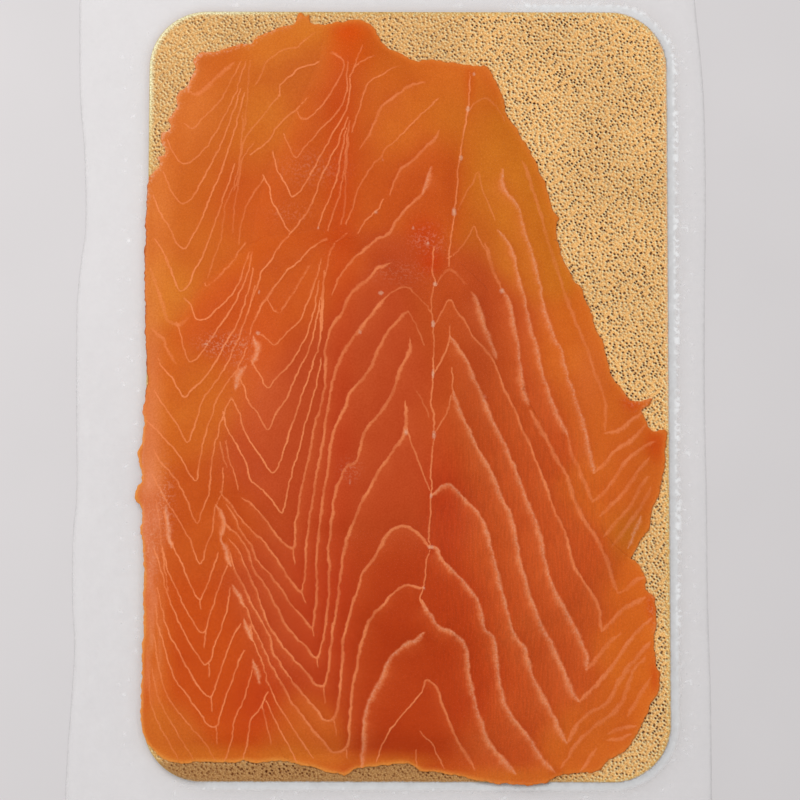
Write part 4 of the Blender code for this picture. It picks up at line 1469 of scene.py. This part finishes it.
def film_ring():
    """The pouch's cut outline, counter-clockwise from its back left corner."""
    step = FILM_RING_STEP
    left = curve(spot(FILM_LEFT, 0.5), step)
    right = curve(spot(FILM_RIGHT, 0.5), step)
    end = 0.5 * POUCH_L
    left = left[np.abs(left[:, 1]) < end]
    right = right[np.abs(right[:, 1]) < end][::-1]
    rows = []
    for a, b in ((left[-1], right[0]), (right[-1], left[0])):
        level = -end if a[1] < 0 else end
        across = np.arange(a[0], b[0], step if b[0] > a[0] else -step)
        rows.append(np.column_stack([across, np.full(len(across), level)]))
    return np.vstack([left, rows[0], right, rows[1]])


def board_gap(x, y):
    """Distance outside the board's rounded outline, negative over the board."""
    dx = np.abs(x - BOARD_X) - (0.5 * BOARD_W - BOARD_R)
    dy = np.abs(y) - (0.5 * BOARD_L - BOARD_R)
    outside = np.hypot(np.maximum(dx, 0.0), np.maximum(dy, 0.0))
    return outside + np.minimum(np.maximum(dx, dy), 0.0) - BOARD_R


def contents_top(lower):
    """Heights that the film is drawn over, as one raster."""
    x, y = lower.centres()
    tops = Raster(lower.low, lower.low, lower.step)
    tops.values = np.where(board_gap(x, y) < 0.6, lower.values, 0.55)
    loose = spread(tops.values, 2.4 / tops.step)
    tops.values = spread(np.maximum(tops.values, loose), 1.0 / tops.step) + FILM_LIFT
    return tops


def rim_gap(points, ring):
    """Distance from each point to the pouch's outline, up to 12 mm."""
    gap = np.full(len(points), 12.0)
    for part in np.array_split(np.arange(len(ring)), 40):
        low = ring[part].min(axis=0) - 12.0
        high = ring[part].max(axis=0) + 12.0
        near = np.where(np.all((points > low) & (points < high), axis=1))[0]
        if len(near):
            apart = points[near][:, None, :] - ring[part][None, :, :]
            gap[near] = np.minimum(gap[near], np.linalg.norm(apart, axis=2).min(axis=1))
    return gap


def seal_band(end_gap):
    """Where the heat seal across each end of the pouch lies, from 0 to 1."""
    far = SEAL_FROM_END + SEAL_WIDTH
    return come((SEAL_FROM_END - 0.6, SEAL_FROM_END + 0.2, far - 0.2, far + 0.6), end_gap)


def paint_film(x, y, gap, edge, margin, puckers, covered):
    """How milky the film is at each place, and its tint, with painted sparkles of light and a pale,
    slightly grey veil painted over the board's cast shadow.
    """
    milk = 0.001 + 0.006 * (gap > -0.5) + margin * (0.20 + 0.07 * puckers)
    milk = milk + 0.2 * seal_band(0.5 * POUCH_L - np.abs(y))
    right = (x > 40.0) * leave((75.0, 125.0), np.abs(y - SPARKLE_MIDDLE))
    foot = come((-70.0, -50.0), x) * leave((-110.0, -95.0), y)
    # the side away from the lamp, where the board casts its shadow on the floor
    shadow_side = np.maximum(come((30.0, 50.0), x), foot) * leave((0.1, 0.4), covered)
    # a pale, slightly grey veil painted over that shadow just beside the board
    shadow_veil = shadow_side * come((-0.2, 0.2, 1.6, 3.0), gap)
    # painted sparkles of light in a band beside the board's right edge
    painted_sparkles = right * leave((0.5, 1.0), np.abs(gap - SPARKLE_GAP))
    painted_sparkles = painted_sparkles * fade(0.05, 0.45, drift(x, y, 0.9, 93))
    # a few painted sparkles scattered over the margins
    stray_sparkles = fade(0.78, 0.9, drift(x, y, 1.1, 94)) * margin * (gap < 9.0)
    milk = milk + 0.8 * shadow_veil + 0.8 * np.maximum(painted_sparkles, 0.3 * stray_sparkles)
    milk = np.minimum(milk + 0.15 * leave((0.2, 0.9), edge), 0.95)
    # greyer under the painted veil over the shadow, whiter at the painted sparkles
    tint = FILM_WHITE - 12.0 * shadow_veil * (1 - painted_sparkles) + 11.0 * np.maximum(painted_sparkles, stray_sparkles)
    tint = tint + (FILM_EDGE - tint) * leave((0.2, 0.6), edge)
    return milk, tint


def build_film(lower, union):
    """The clear pouch, one closed envelope drawn close over its contents."""
    ring = film_ring()
    low = ring.min(axis=0)
    high = ring.max(axis=0)
    fine = lattice(low, high, FILM_STEP, 81)
    fine = fine[board_gap(fine[:, 0], fine[:, 1]) > -3.0]
    broad = lattice(low, high, FILM_BROAD_STEP, 82)
    broad = broad[board_gap(broad[:, 0], broad[:, 1]) < -3.4]
    inner = np.vstack([fine, broad])
    inner = inner[inside_ring(inner, ring)]
    inner = inner[rim_gap(inner, ring) > 0.35]
    flat, faces = fill_ring(ring, inner)
    x = flat[:, 0]
    y = flat[:, 1]
    gap = board_gap(x, y)
    edge = rim_gap(flat, ring)

    margin = fade(0.0, 3.0, gap)
    puckers = varied(x, y, PUCKERS)
    height = contents_top(lower).at(x, y)
    height = height + margin * fade(0.0, 4.0, edge) * (0.30 + 0.25 * puckers)
    end_gap = 0.5 * POUCH_L - np.abs(y)
    band = seal_band(end_gap)
    ribs = 0.5 + 0.5 * np.sin(end_gap * 2 * math.pi / SEAL_RIB)
    height = height * (1 - band) + band * (0.42 + 0.12 * ribs)
    height = np.minimum(height, 0.22 + 0.9 * edge)
    milk, tint = paint_film(x, y, gap, edge, margin, puckers, union.at(x, y))

    low_flat, low_faces = fill_ring(ring, inner[::9])
    rims = border_of(faces)
    top_faces = len(faces)
    faces = faces + [tuple(i + len(flat) for i in reversed(face)) for face in low_faces]
    close_walls(faces, rims, flat, low_flat)
    top = np.column_stack([flat, height])
    bottom = np.column_stack([low_flat, np.zeros(len(low_flat))])
    piece = add_mesh("clear_pouch", np.vstack([top, bottom]), faces, film, top_faces)
    tint = np.concatenate([tint, np.full(len(bottom), FILM_WHITE)])
    add_colours(piece, "tint", linear(tint[:, None] * np.ones(3)))
    add_values(piece, "milk", np.concatenate([milk, np.full(len(bottom), 0.02)]))
    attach(piece, "root")
    piece.visible_shadow = False
    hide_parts("pouch")


def add_floor():
    """A wide pale floor under the pack."""
    turns = ((-1, -1), (1, -1), (1, 1), (-1, 1))
    corners = np.array([(sx * FLOOR_HALF, sy * FLOOR_HALF, FLOOR_LEVEL) for sx, sy in turns])
    floor = add_mesh("floor", corners, [(0, 1, 2, 3)], floor_material(), 0)


def add_light(name, place, size, power, colour):
    """A soft square light aimed at the pack."""
    data = bpy.data.lights.new(name, "AREA")
    data.shape = "SQUARE"
    data.size = size
    data.energy = power
    data.color = colour
    lamp = bpy.data.objects.new(name, data)
    lamp.location = place
    lamp.rotation_euler = (-Vector(place)).to_track_quat("-Z", "Y").to_euler()
    bpy.context.scene.collection.objects.link(lamp)


def add_studio():
    """Soft light from the upper left and an even, weaker surround."""
    add_light("key", (-0.38, 0.34, 0.82), 0.85, KEY_POWER, (1.0, 0.99, 0.985))
    world = bpy.data.worlds.new("studio")
    world.use_nodes = True
    surround = world.node_tree.nodes["Background"]
    surround.inputs["Color"].default_value = (0.97, 0.98, 1.0, 1.0)
    surround.inputs["Strength"].default_value = WORLD_POWER
    bpy.context.scene.world = world
    bpy.context.scene.view_settings.view_transform = "Standard"


def add_camera():
    """The camera at the photo's distance, height and turn."""
    data = bpy.data.cameras.new("camera")
    data.sensor_width = 36.0
    data.lens = data.sensor_width * EYE_FOCAL / FRAME_SIZE
    data.clip_start = 0.05
    data.clip_end = 20.0
    camera = bpy.data.objects.new("camera", data)
    axes = Matrix((ACROSS, UPWARD, -FORWARD)).transposed().to_4x4()
    camera.matrix_world = Matrix.Translation(Vector(EYE * MM)) @ axes
    bpy.context.scene.collection.objects.link(camera)
    bpy.context.scene.camera = camera


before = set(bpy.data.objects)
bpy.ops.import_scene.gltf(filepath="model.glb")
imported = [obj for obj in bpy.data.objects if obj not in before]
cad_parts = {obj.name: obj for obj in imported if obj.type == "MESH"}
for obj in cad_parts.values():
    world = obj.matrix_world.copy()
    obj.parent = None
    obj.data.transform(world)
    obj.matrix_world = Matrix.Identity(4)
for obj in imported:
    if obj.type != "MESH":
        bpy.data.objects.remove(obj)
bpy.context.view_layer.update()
salmon = salmon_material()
gold = gold_material()
film = film_material()
fish_tops, fish_cover = build_fish()
build_board()
build_film(fish_tops, fish_cover)
add_floor()
add_studio()
add_camera()
